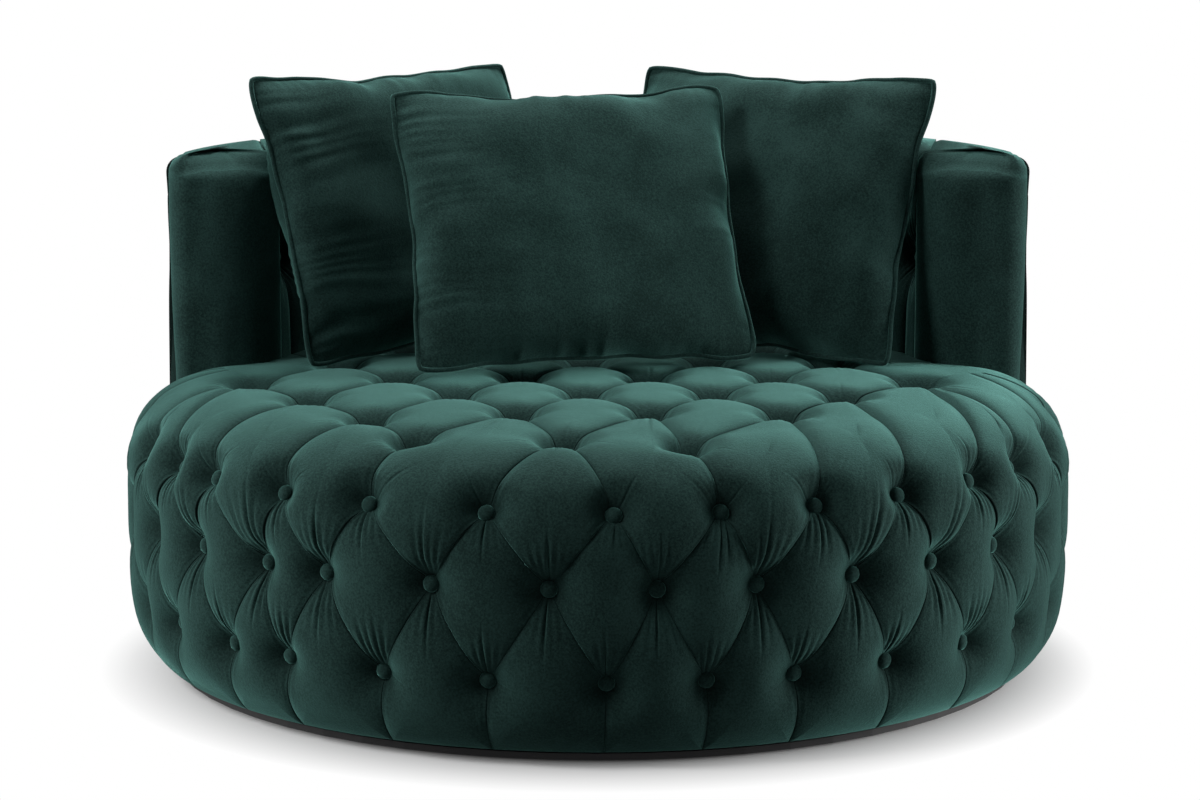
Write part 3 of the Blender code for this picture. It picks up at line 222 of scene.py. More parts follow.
def finished_mesh(name, points, faces, creases=(), pits=()):
    """A closed object from points and faces, smooth except along its creases, with its faces out."""
    mesh = bpy.data.meshes.new(name)
    mesh.from_pydata([tuple(p) for p in points], [], [tuple(f) for f in faces])
    # painted shade of the pleats and pits, stored per vertex for the velvet's base colour
    fold = mesh.attributes.new("fold", "FLOAT", "POINT")
    fold.data.foreach_set("value", fold_shade(mesh, points, creases, pits))
    shape = bmesh.new()
    shape.from_mesh(mesh)
    sharp = {frozenset(pair) for line in creases for pair in zip(line, line[1:])}
    for edge in shape.edges:
        if frozenset(v.index for v in edge.verts) in sharp:
            edge.smooth = False
    bmesh.ops.delete(shape, geom=[v for v in shape.verts if not v.link_faces], context="VERTS")
    bmesh.ops.recalc_face_normals(shape, faces=shape.faces)
    for face in shape.faces:
        face.smooth = True
    shape.to_mesh(mesh)
    shape.free()
    return placed(name, mesh)


# Turned surfaces

class Profile:
    """A turned surface's outline in (radius, height), read by the distance along it."""

    def __init__(self, points, side=1.0):
        self.points = np.array(points, float)
        steps = np.diff(self.points, axis=0)
        self.lengths = np.concatenate(([0.0], np.cumsum(np.hypot(steps[:, 0], steps[:, 1]))))
        run = np.gradient(self.points, axis=0)
        run /= np.hypot(run[:, 0], run[:, 1])[:, None]
        self.outward = side * np.stack((-run[:, 1], run[:, 0]), axis=1)

    def read(self, table, distance):
        return np.stack([np.interp(distance, self.lengths, table[:, k]) for k in (0, 1)], axis=1)

    def at(self, distance):
        """Radius and height, and the outward direction there."""
        out = self.read(self.outward, distance)
        return self.read(self.points, distance), out / np.hypot(out[:, 0], out[:, 1])[:, None]

    def distance_at(self, height):
        """How far along the outline first drops to a height."""
        z = self.points[:, 1]
        i = int(np.nonzero((z[1:] <= height) & (z[:-1] > height))[0][0])
        part = (z[i] - height) / (z[i] - z[i + 1])
        return self.lengths[i] + part * (self.lengths[i + 1] - self.lengths[i])

    def turned(self, turn, distance, front):
        """Points and outward directions at angles round the axis, counted from +Y or from the front, -Y."""
        across, ahead = np.sin(turn), front * np.cos(turn)
        return [np.stack((p[:, 0] * across, p[:, 0] * ahead, p[:, 1]), axis=1) for p in self.at(distance)]


def drum_profile(drum, steps=60, rim=2.5, hem=6.0):
    """A slightly domed top, a superelliptic shoulder and a side that tucks in at the hem."""
    parts = [i / steps for i in range(steps)]
    points = [(drum.shoulder_radius * part, drum.crown_height - drum.crown_fall * part ** 4) for part in parts]
    rise = drum.crown_height - drum.crown_fall - drum.waist_height
    for i in range(steps):
        turn = math.pi / 2 * i / steps
        reach = (drum.waist_radius - drum.shoulder_radius) * math.sin(turn) ** (2 / rim)
        points.append((drum.shoulder_radius + reach, drum.waist_height + rise * math.cos(turn) ** (2 / rim)))
    for part in parts + [1.0]:
        points.append((drum.hem_radius + (drum.waist_radius - drum.hem_radius) * (1.0 - part ** hem),
                       drum.waist_height - (drum.waist_height - drum.hem_height) * part))
    return Profile(points)


class DrumSurface:
    """The drum's plump outside. A spot is where it lies when the cover is laid flat round its middle."""

    def __init__(self, drum):
        self.profile = drum_profile(drum)
        self.edge = self.profile.distance_at(drum.top_row)

    def lay(self, spots):
        """Points and outward directions for an array of flat spots."""
        turn = np.arctan2(spots[:, 0], -spots[:, 1])
        return self.profile.turned(turn, np.hypot(spots[:, 0], spots[:, 1]), -1.0)

    def between(self, a, b, parts):
        """Spots along a pleat: straight on the top, and straight round the side out on the rim."""
        a, b = np.array(a), np.array(b)
        radii = np.hypot(a[0], a[1]), np.hypot(b[0], b[1])
        if min(radii) < self.edge - 0.001:
            return a + (b - a) * parts[:, None]
        turns = [math.atan2(a[0], -a[1]), math.atan2(b[0], -b[1])]
        if abs(turns[1] - turns[0]) > math.pi:
            turns[1] += math.copysign(2.0 * math.pi, turns[0] - turns[1])
        turn = turns[0] + (turns[1] - turns[0]) * parts
        radius = radii[0] + (radii[1] - radii[0]) * parts
        return np.stack((radius * np.sin(turn), -radius * np.cos(turn)), axis=1)


class BackSurface:
    """A curved face of the back. A spot is (distance round at a mean radius, distance along the outline)."""

    def __init__(self, points, radius, side):
        self.profile = Profile(points, side)
        self.radius = radius

    def lay(self, spots):
        return self.profile.turned(spots[:, 0] / self.radius, spots[:, 1], 1.0)

    def between(self, a, b, parts):
        a, b = np.array(a), np.array(b)
        return a + (b - a) * parts[:, None]


# Tufted cloth

PLEAT_STEPS = 40
RAY_LEVELS = (0.0, 0.16, 0.3, 0.42, 0.52, 0.61, 0.69, 0.76, 0.81, 0.85, 0.885, 0.915, 0.94, 0.96, 0.976, 0.989,
              0.996, 1.0)
BUTTON_SEAT = 0.007
# Reach of the painted shade round each button's pit
PAINTED_PIT_SHADE_RADIUS = 0.025
TUCK = 0.0012
FOLD_DEPTH = 0.0056
FOLD_WIDTH = 0.0080
RIPPLE_WIDTH = 0.0105


class Quilt:
    """Puffed cells of velvet between pleats and buttons, as one fine mesh laid over a surface.

    spots names the corners: flat place and depth. mid_depth is a pleat's depth between buttons, funnel and
    steep are the reach and shape of a dimple, fullness is the cells' on the top and on the side, ripple is the
    depth of the narrow folds beside the pleats and crease that of the pleat's own groove.
    """

    def __init__(self, surface, spots, mid_depth=0.0085, funnel=0.024, steep=1.25, fullness=(2.6, 2.6),
                 ripple=0.0010, crease=0.0045):
        self.surface, self.spots = surface, spots
        self.mid_depth, self.funnel, self.steep = mid_depth, funnel, steep
        self.fullness, self.ripple, self.crease = fullness, ripple, crease
        self.points, self.faces, self.creases = [], [], []
        self.corners, self.pleats = {}, {}
        names = sorted(spots)
        points, outward = surface.lay(np.array([spots[n][:2] for n in names]))
        self.seats = {n: (points[i], outward[i], spots[n][2]) for i, n in enumerate(names)}

    def add(self, points):
        return appended(self.points, points)

    def sink(self, points, names, depth):
        """The depth, drawn down towards the buttons at some corners."""
        for name in names:
            place, _, sunk = self.seats[name]
            if sunk > self.mid_depth:
                away = np.maximum(0.0, np.linalg.norm(points - place, axis=1) - BUTTON_SEAT)
                depth = depth + (sunk - depth) * np.exp(-(away / self.funnel) ** self.steep)
        return depth

    def pits(self):
        """The bottoms of the dimples."""
        return [place - out * depth for place, out, depth in self.seats.values() if depth > self.mid_depth]

    def corner(self, name):
        if name not in self.corners:
            place, out, depth = self.seats[name]
            self.corners[name] = self.add([place - out * depth])[0]
        return self.corners[name]

    def pleat(self, a, b, plain=False, steps=PLEAT_STEPS):
        """The vertices, spots and pleat depths between two corners, in order from a to b."""
        key = (a, b) if a < b else (b, a)
        if key not in self.pleats:
            if plain:
                parts = np.arange(1, steps) / steps
            else:
                parts = 0.5 - 0.5 * np.cos(np.pi * np.arange(1, steps) / steps)
            spots = self.surface.between(self.spots[key[0]][:2], self.spots[key[1]][:2], parts)
            ends = [min(self.mid_depth, self.seats[n][2]) for n in key]
            depth = ends[0] + (ends[1] - ends[0]) * parts
            points, outward = self.surface.lay(spots)
            deep = depth
            if not plain:
                held = np.minimum(1.0, depth / self.mid_depth)
                side, stray = self.wander(key, parts, outward)
                points = points + side * (stray * held)[:, None]
                deep = self.sink(points, key, depth) + self.crease * held
            self.pleats[key] = (self.add(points - outward * deep[:, None]), spots, depth)
            if not plain:
                self.creases.append(self.pleats[key][0])
        vertices, spots, depth = self.pleats[key]
        if key == (a, b):
            return vertices, spots, depth
        return vertices[::-1], spots[::-1], depth[::-1]

    def wander(self, key, parts, outward):
        """The way across a pleat, and how far it strays and is tucked that way."""
        one, two = (self.seats[name][0] for name in key)
        along = two - one
        side = np.cross(outward, along / np.linalg.norm(along))
        if side[0][2] < -0.05 or (abs(side[0][2]) <= 0.05 and side[0][1] < 0.0):
            side = -side
        own = noise.noise(Vector((one + two) / 2) * 9.0)
        bow = np.linalg.norm(along) * (0.035 * np.sin(np.pi * parts) * own
                                       + 0.018 * np.sin(2.0 * np.pi * parts) * (0.6 + own))
        return side, bow + TUCK * np.sin(np.pi * parts) ** 0.5

    def cell(self, names, gathers, plain=()):
        """One puffed cell. gathers weighs the folds at a corner; plain lists sides that have no pleat."""
        ring, spots, depths = [], [], []
        for a, b in zip(names, names[1:] + names[:1]):
            vertices, between, depth = self.pleat(a, b, plain=(a, b) in plain or (b, a) in plain)
            ring += [self.corner(a)] + vertices
            spots += [np.array(self.spots[a][:2])] + list(between)
            depths += [min(self.mid_depth, self.seats[a][2])] + list(depth)
        spots, depths = np.array(spots), np.array(depths)
        centre = np.mean([self.spots[n][:2] for n in names], axis=0)
        middle, out = (found[0] for found in self.surface.lay(centre[None]))
        fullness = np.interp(np.hypot(spots[:, 0], spots[:, 1]), (0.50, 0.62), self.fullness)
        fullness *= 1.0 + 0.25 * noise.noise(Vector(middle) * 13.0)
        edge = self.surface.lay(spots)[0]
        rows = []
        for level in RAY_LEVELS[1:-1]:
            points, outward = self.surface.lay(centre + (spots - centre) * level)
            depth = self.sink(points, names, depths * (1.0 - np.sqrt(1.0 - level ** fullness)))
            depth += self.folds(points, names, middle, level, gathers)
            depth += self.ripples(points, edge, names)
            rows.append(self.add(points - outward * depth[:, None]))
        top = self.add([middle - out * self.sink(middle[None], names, np.zeros(1))[0]])[0]
        rows.append(ring)
        count = len(ring)
        for i in range(count):
            j = (i + 1) % count
            self.faces.append((top, rows[0][i], rows[0][j]))
            for near, far in zip(rows, rows[1:]):
                self.faces.append((near[i], far[i], far[j], near[j]))

    def ripples(self, points, edge, names):
        """Narrow folds that run beside the pleats, near the buttons."""
        inward = np.linalg.norm(points - edge, axis=1)
        near = np.full(len(points), 1.0)
        for name in names:
            if self.seats[name][2] > self.mid_depth:
                near = np.minimum(near, np.linalg.norm(points - self.seats[name][0], axis=1))
        held = np.clip((near - 0.010) / 0.012, 0.0, 1.0) * np.clip((0.075 - near) / 0.045, 0.0, 1.0)
        wave = 0.5 - 0.5 * np.cos(2.0 * np.pi * inward / RIPPLE_WIDTH)
        return self.ripple * held * wave * np.exp(-(inward / 0.017) ** 2)

    def folds(self, points, names, middle, level, gathers):
        """Tension folds that run out of the buttons into the cell."""
        depth = np.zeros(len(points))
        fade = 1.0 - level ** 10
        for name in names:
            place, out, sunk = self.seats[name]
            if sunk <= self.mid_depth:
                continue
            ahead = Vector(middle - place)
            reach = ahead.length
            ahead.normalize()
            away = points - place
            across = away @ np.array(Vector(out).cross(ahead).normalized())
            forward = away @ np.array(ahead)
            beyond = np.maximum(0.0, forward)
            stray = noise.noise(Vector(place) * 23.0 + ahead)
            start = np.clip((forward - 0.009) / 0.012, 0.0, 1.0)
            end = np.clip((0.72 * reach * (1.0 + 0.35 * stray) - forward) / (0.4 * reach), 0.0, 1.0)
            wave = across / (FOLD_WIDTH * (0.55 + 0.45 * beyond / 0.03)) + 1.7 * stray
            spread = np.exp(-(across / (0.011 + 0.30 * beyond)) ** 2)
            groove = (0.5 + 0.5 * np.cos(2.0 * np.pi * wave)) ** 2.5
            uneven = 0.65 + 0.35 * np.cos(2.0 * np.pi * wave * 0.37 + 5.0 * stray)
            depth += FOLD_DEPTH * gathers(name, ahead) * fade * start * end * end * spread * groove * uneven
        return depth

    def line(self, names, closed=False):
        """The vertices along an open or closed run of corners and pleats."""
        vertices = []
        for a, b in zip(names, names[1:] + names[:1] if closed else names[1:]):
            vertices += [self.corner(a)] + self.pleat(a, b)[0]
        return vertices if closed else vertices + [self.corner(names[-1])]

    def finish(self, name, node):
        """The finished cover, which stands for a node."""
        piece = finished_mesh(name, self.points, self.faces, self.creases, self.pits())
        dress(piece, velvet("green_velvet"), "velvet", 0.9, node)


# Network of pleats on the drum

# How far the hand-set buttons that the photo shows have strayed round the drum, in degrees, by bay
DRIFT = {
    "top": {26: -4.0, 27: -3.2, 28: -3.0, 29: -0.6, 0: 1.8, 1: 2.0, 2: 1.5, 3: 1.2, 4: 1.7},
    "middle": {27: -2.3, 28: -0.9, 29: 0.6, 0: 0.6, 1: 0.0, 2: 0.1},
    "low": {27: -2.2, 28: -1.0, 29: -0.4, 0: 1.0, 1: 0.3, 2: -1.2, 3: -0.9},
    "in_line": {9: -2.0, 0: 0.0, 2: 11.0},
    "between": {0: 1.0},
}
# Where the straight rows reach the rim, their own end buttons take the pleats: row, place in the row, bays
ROW_ENDS = (
    (-3, -3, (27,)), (-2, -4, (26,)), (-1, -5, (25, 24)),
    (-3, 3, (2,)), (-2, 4, (3,)), (-1, 5, (4, 5)),
)
RING_ENDS = ((2, 6), (7, 23))
# Degrees from the front between which the ring of buttons gives way to the straight rows' own ends
RING_GAP = (28.0, 90.0)
# How much further out the ring's in-line buttons stand in front
FRONT_STEP = 0.030
# The straight rows' buttons beyond this reach stand this much further out
OUTER_REACH = 0.416
OUTER_SPREAD = 1.06
# How far from its even place a straight row's pleat finds its button in the ring
LINK_REACH = 0.10
HEM_DEPTH = 0.004


def drift(row, bay):
    """A row's own unevenness: as seen, or a slow wander where it isn't."""
    wander = 2.2 * noise.noise(Vector((0.9 * bay, 7.0 * len(row), 3.3)))
    return DRIFT[row].get(bay, wander)


def flat(turn, distance, depth):
    """A spot and its depth, from an angle in degrees and a distance from the middle."""
    return distance * math.sin(math.radians(turn)), -distance * math.cos(math.radians(turn)), depth


def under_back(turn):
    return abs((turn % 360.0) - 180.0) < math.degrees(settings("back").outer_seam) + 6.0


def drum_spots(drum, profile):
    """The corners of the drum's pleats: straight rows on top, a ring inside the rim and the rows of the side."""
    heights = (("top", 0.0, drum.top_row), ("middle", 0.5, drum.middle_row), ("low", 0.0, drum.low_row))
    rows = [(row, ahead, profile.distance_at(height)) for row, ahead, height in heights]
    step = 360.0 / drum.bays
    field, ring, side = {}, {}, {}
    for row in range(-4, 4):
        along = (row + 0.5) * drum.pitch_along
        for column in range(-4, 5):
            across = (column + 0.5 * (row % 2)) * drum.pitch_across + drum.shift
            reach = math.hypot(across, along)
            if reach < drum.field_radius:
                swell = OUTER_SPREAD if reach > OUTER_REACH else 1.0
                field[("field", 2 * column + row % 2, row)] = (across * swell, along * swell, drum.top_depth)
    for bay in range(drum.bays // 3):
        for kind, turn in (("in_line", 3 * step * bay + step), ("between", 3 * step * bay - step / 2)):
            turn += drift(kind, bay)
            ahead = abs((turn + 180.0) % 360.0 - 180.0)
            if not RING_GAP[0] < ahead < RING_GAP[1]:
                reach = drum.ring_radius + (FRONT_STEP if kind == "in_line" and ahead < RING_GAP[0] else 0.0)
                ring[(kind, bay, 0)] = flat(turn, reach, 0.0 if under_back(turn) else drum.top_depth)
    for bay in range(drum.bays):
        for row, ahead, distance in rows:
            side[(row, bay, 0)] = flat(step * (bay + ahead) + drift(row, bay), distance, drum.side_depth)
        side[("hem", bay, 0)] = flat(step * bay + 0.8 * drift("low", bay), profile.lengths[-1], HEM_DEPTH)
    return field, ring, side


def drum_links(drum, field, ring):
    """The pleats between those corners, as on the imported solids."""
    links = set()

    def nearest(group, aim):
        name = min(group, key=lambda n: math.dist(group[n][:2], aim))
        return name, math.dist(group[name][:2], aim)

    for name, spot in field.items():
        for dx in (-1, 1):
            for dy in (-1, 1):
                other = ("field", name[1] + dx, name[2] + dy)
                if other in field:
                    links.add(tuple(sorted((name, other))))
                    continue
                end, away = nearest(ring, (spot[0] + dx * drum.pitch_across / 2, spot[1] + dy * drum.pitch_along))
                if away < LINK_REACH:
                    links.add((name, end))
    linked = {name for pair in links for name in pair}
    links |= {(nearest(field, spot[:2])[0], name) for name, spot in ring.items() if name not in linked}
    links |= {(("field", place, row), ("top", bay, 0)) for row, place, ends in ROW_ENDS for bay in ends}
    links |= {(("in_line", bay, 0), ("top", end, 0)) for bay, end in RING_ENDS}
    for bay in range(drum.bays // 3):
        for kind, end in (("in_line", 3 * bay + 1), ("between", 3 * bay - 1), ("between", 3 * bay)):
            if (kind, bay, 0) in ring:
                links.add(((kind, bay, 0), ("top", end % drum.bays, 0)))
    for bay in range(drum.bays):
        for end in (bay, (bay + 1) % drum.bays):
            links.add((("top", end, 0), ("middle", bay, 0)))
    return links


def faces_of_network(spots, links):
    """The cells of a flat network, each as its corners in order, without the one outside."""
    neighbours = {}
    for a, b in links:
        neighbours.setdefault(a, set()).add(b)
        neighbours.setdefault(b, set()).add(a)
    turn = {}
    for a, near in neighbours.items():
        order = sorted(near, key=lambda b: math.atan2(spots[b][1] - spots[a][1], spots[b][0] - spots[a][0]))
        for i, b in enumerate(order):
            turn[(b, a)] = (a, order[i - 1])
    cells = []
    left = set(turn)
    for start in sorted(left):
        cell = []
        edge = start
        while edge in left:
            left.remove(edge)
            cell.append(edge[0])
            edge = turn[edge]
        corners = [spots[a] for a in cell]
        area = sum(a[0] * b[1] - b[0] * a[1] for a, b in zip(corners, corners[1:] + corners[:1]))
        if area > 0:
            cells.append(cell)
    return cells


def skirt(points, faces, ring, loops):
    """Quads from a closed ring of vertices through further closed loops of as many points."""
    rows = [ring] + [appended(points, loop) for loop in loops]
    faces += bridge(rows)
    return rows[-1]


def pulled_in(points, ring, radius, height=None):
    """The ring's points moved straight in or out to a radius, and to a height if given."""
    loop = []
    for i in ring:
        x, y, z = points[i]
        scale = radius / math.hypot(x, y)
        loop.append(np.array((x * scale, y * scale, z if height is None else height)))
    return loop


# Node writing

class Wire:
    """A node's output that takes part in plain arithmetic."""

    def __init__(self, tree, socket):
        self.tree, self.socket = tree, socket

    def math(self, operation, *values, clamp=False):
        settings_of = {"operation": operation, "use_clamp": clamp}
        return self.tree.node("ShaderNodeMath", settings_of, dict(enumerate(values)))(0)

    def __add__(self, other):
        return self.math("ADD", self, other)

    def __mul__(self, other):
        return self.math("MULTIPLY", self, other)

    def __sub__(self, other):
        return self.math("SUBTRACT", self, other)

    def __rsub__(self, other):
        return self.math("SUBTRACT", other, self)

    __radd__ = __add__
    __rmul__ = __mul__


class Tree:
    """A node tree. node() makes any node and returns a reader of its outputs."""

    def __init__(self, tree):
        self.tree = tree

    def fill(self, node, inputs):
        for key, value in inputs.items():
            if isinstance(value, Wire):
                self.tree.links.new(value.socket, node.inputs[key])
            else:
                node.inputs[key].default_value = value

    def node(self, kind, settings_of=None, inputs=None):
        made = self.tree.nodes.new(kind)
        for key, value in (settings_of or {}).items():
            setattr(made, key, value)
        self.fill(made, inputs or {})
        return lambda output: Wire(self, made.outputs[output])


class Shader(Tree):
    """A material's nodes, with the textures and mixes that its finishes share."""

    def __init__(self, name):
        self.material = bpy.data.materials.new(name)
        self.material.use_nodes = True
        super().__init__(self.material.node_tree)
        self.surface = self.tree.nodes["Principled BSDF"]

    def noise(self, scale, detail, roughness, vector=None, distortion=0.0):
        return self.node("ShaderNodeTexNoise", {}, {
            "Scale": scale, "Detail": detail, "Roughness": roughness, "Distortion": distortion,
            "Vector": vector or self.place()})("Fac")

    def place(self):
        return self.node("ShaderNodeTexCoord")("Object")

    def mapped(self, **inputs):
        return self.node("ShaderNodeMapping", {}, {"Vector": self.place(), **inputs})("Vector")

    def bump(self, strength, distance, height):
        inputs = {"Strength": strength, "Distance": distance, "Height": height}
        return self.node("ShaderNodeBump", {}, inputs)("Normal")

    def mix(self, factor, a, b):
        return self.node("ShaderNodeMix", {"data_type": "RGBA"}, {0: factor, 6: a, 7: b})(2)

    def finish(self, **inputs):
        """Sets the surface's own sockets, by name with underscores for spaces."""
        self.fill(self.surface, {key.replace("_", " "): value for key, value in inputs.items()})
        return self.material


def rgba(tone, gain=1.0):
    return (tone[0] * gain, tone[1] * gain, tone[2] * gain, 1.0)


def grey(value):
    return rgba((value, value, value))


def velvet(name, brushed=1.0):
    """Cut velvet: brushed patches, a fine pile, painted shade along the pleats and in the button pits, and a soft
    glow along its turned edges.
    """
    if name in bpy.data.materials:
        return bpy.data.materials[name]
    look = settings("velvet")
    shader = Shader(name)
    patches = shader.noise(9.0, 3.0, 0.55, distortion=0.6)
    streaks = shader.noise(38.0, 3.0, 0.6)
    pile = shader.noise(360.0, 3.0, 0.7)
    lie = (patches - 0.5) * (2.2 * look.mottle * brushed) + (streaks - 0.5) * (1.1 * look.mottle) + 0.5
    lie = lie.math("ADD", lie, (pile - 0.5) * 3.2, clamp=True)
    tone = shader.mix(lie, rgba(look.shade), rgba(look.tint))
    fold = shader.node("ShaderNodeAttribute", {"attribute_name": "fold"})("Fac")
    # painted shade: the base colour goes near black along the pleats and in the button pits
    tone = shader.mix(fold * 0.9, tone, rgba(look.shade, 0.08))
    return shader.finish(
        Base_Color=tone, Roughness=0.92 - lie * 0.12, Normal=shader.bump(0.6, 0.0014, pile * 0.6 + streaks * 0.4),
        Specular_IOR_Level=0.08, Sheen_Weight=look.sheen, Sheen_Roughness=0.45, Sheen_Tint=(0.40, 1.0, 0.89, 1.0))


def plain_material(name, tone, roughness, metallic=0.0, grain=0.0, scale=40.0, stretch=(1.0, 1.0, 1.0), bump=0.2):
    """A finish with a mottled or drawn-out grain, for the pieces held inside and the base."""
    shader = Shader(name)
    vector = shader.mapped(Scale=stretch)
    coarse = shader.noise(scale, 4.0, 0.6, vector)
    fine = shader.noise(scale * 9.0, 2.0, 0.6, vector)
    mask = coarse.math("ADD", coarse * 0.7, fine * 0.3, clamp=True)
    return shader.finish(
        Base_Color=shader.mix(mask, rgba(tone, 1.0 - grain), rgba(tone, 1.0 + grain)),
        Roughness=mask * 0.12 + (roughness - 0.06), Metallic=metallic, Normal=shader.bump(bump, 0.0008, mask))


def dress(piece, finish, slot, fill, *nodes):
    """Gives a padded piece its material and its body and hides the nodes it stands for; its slot and its filling
    are not used.
    """
    piece.data.materials.clear()
    piece.data.materials.append(finish)
    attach(piece, SEAT_BODY)
    if nodes:
        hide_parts(*nodes)


# Geometry nodes

BUTTON_TILT = 0.12
BUTTON_LIFT = 0.0022


def built(name, mesh, tree_of, values):
    """A piece made by running geometry nodes on a mesh. tree_of makes the tree where it isn't there yet."""
    source = placed(name + "_source", mesh)
    modifier = source.modifiers.new(name, "NODES")
    modifier.node_group = bpy.data.node_groups.get(tree_of.__name__) or tree_of(values)
    for item in modifier.node_group.interface.items_tree:
        if item.in_out == "INPUT" and item.name in values:
            modifier[item.identifier] = values[item.name]
    return plain_copy(source, name)


def opened(name, values):
    """A new tree with a mesh and the named values going in, and a reader of them."""
    group = bpy.data.node_groups.new(name, "GeometryNodeTree")
    kinds = {float: "Float", int: "Int", bpy.types.Material: "Material"}
    for key, kind in [("Geometry", "Geometry")] + [(key, kinds[type(value)]) for key, value in values.items()]:
        group.interface.new_socket(key, in_out="INPUT", socket_type="NodeSocket" + kind)
    group.interface.new_socket("Geometry", in_out="OUTPUT", socket_type="NodeSocketGeometry")
    tree = Tree(group)
    return tree, tree.node("NodeGroupInput")


def closed(tree, made, given):
    """Sends what was made out of the tree as real geometry with its finish."""
    solid = tree.node("GeometryNodeRealizeInstances", {}, {"Geometry": made})("Geometry")
    dressed = tree.node("GeometryNodeSetMaterial", {}, {"Geometry": solid, "Material": given("Finish")})
    tree.node("NodeGroupOutput", {}, {"Geometry": dressed("Geometry")})
    return tree.tree


def covered_buttons(values):
    """A flattened dome on every point, turned to face the way the point's outward says."""
    tree, given = opened("covered_buttons", values)
    dome = tree.node("GeometryNodeMeshUVSphere", {}, {"Segments": 12, "Rings": 6, "Radius": 1.0})("Mesh")
    dome = tree.node("GeometryNodeSetShadeSmooth", {}, {"Geometry": dome, "Shade Smooth": True})("Geometry")
    size = {"X": given("Radius"), "Y": given("Radius"), "Z": given("Height")}
    vector = {"data_type": "FLOAT_VECTOR"}
    outward = tree.node("GeometryNodeInputNamedAttribute", vector, {"Name": "outward"})("Attribute")
    tilt = {0: (-BUTTON_TILT,) * 3, 1: (BUTTON_TILT,) * 3, "Seed": given("Seed")}
    tilt = tree.node("FunctionNodeRandomValue", vector, tilt)("Value")
    leaning = tree.node("ShaderNodeVectorMath", {"operation": "ADD"}, {0: outward, 1: tilt})("Vector")
    return closed(tree, tree.node("GeometryNodeInstanceOnPoints", {}, {
        "Points": given("Geometry"), "Instance": dome,
        "Rotation": tree.node("FunctionNodeAlignRotationToVector", {"axis": "Z"}, {"Vector": leaning})("Rotation"),
        "Scale": tree.node("ShaderNodeCombineXYZ", {}, size)("Vector")})("Instances"), given)


def piping(values):
    """A cord of a given radius along a closed run of edges."""
    tree, given = opened("piping", values)
    path = tree.node("GeometryNodeMeshToCurve", {}, {"Mesh": given("Geometry")})("Curve")
    ring = {"Resolution": 10, "Radius": given("Radius")}
    ring = tree.node("GeometryNodeCurvePrimitiveCircle", {}, ring)("Curve")
    tube = tree.node("GeometryNodeCurveToMesh", {}, {"Curve": path, "Profile Curve": ring})("Mesh")
    return closed(tree, tree.node("GeometryNodeSetShadeSmooth", {}, {"Geometry": tube})("Geometry"), given)


def make_buttons(name, quilt, kinds):
    """Buttons on a quilt's tufted corners of some kinds, seated at the bottom of their tufts."""
    sizes = settings("buttons")
    finish = velvet("green_velvet")
    places = [quilt.seats[n] for n in sorted(quilt.spots) if n[0] in kinds and quilt.seats[n][2] > quilt.mid_depth]
    mesh = bpy.data.meshes.new(name)
    mesh.from_pydata([tuple(place - out * (depth - BUTTON_LIFT)) for place, out, depth in places], [], [])
    outward = mesh.attributes.new("outward", "FLOAT_VECTOR", "POINT")
    outward.data.foreach_set("vector", np.array([out for _, out, _ in places]).ravel())
    values = {"Radius": sizes.radius, "Height": sizes.height, "Seed": sizes.seed, "Finish": finish}
    dress(built(name, mesh, covered_buttons, values), finish, "velvet", 1.0)


# Covers

HEM_TURN = 0.0010
# How far inside the back's edges the seat cover is sunk under it, and how far below its foot
UNDER_MARGIN = 0.012
UNDER_DEPTH = 0.0006


def side_gathers(name, ahead):
    """Folds above the side's buttons are the strongest, as the cloth hangs from them."""
    if name[0] in ("middle", "low", "top"):
        return 1.0 * max(0.0, ahead.z) ** 2 + 0.8 * max(0.0, -ahead.z) ** 2 + 0.1
    return 0.15


def back_gathers(name, ahead):
    return 0.7 * abs(ahead.z) + 0.1


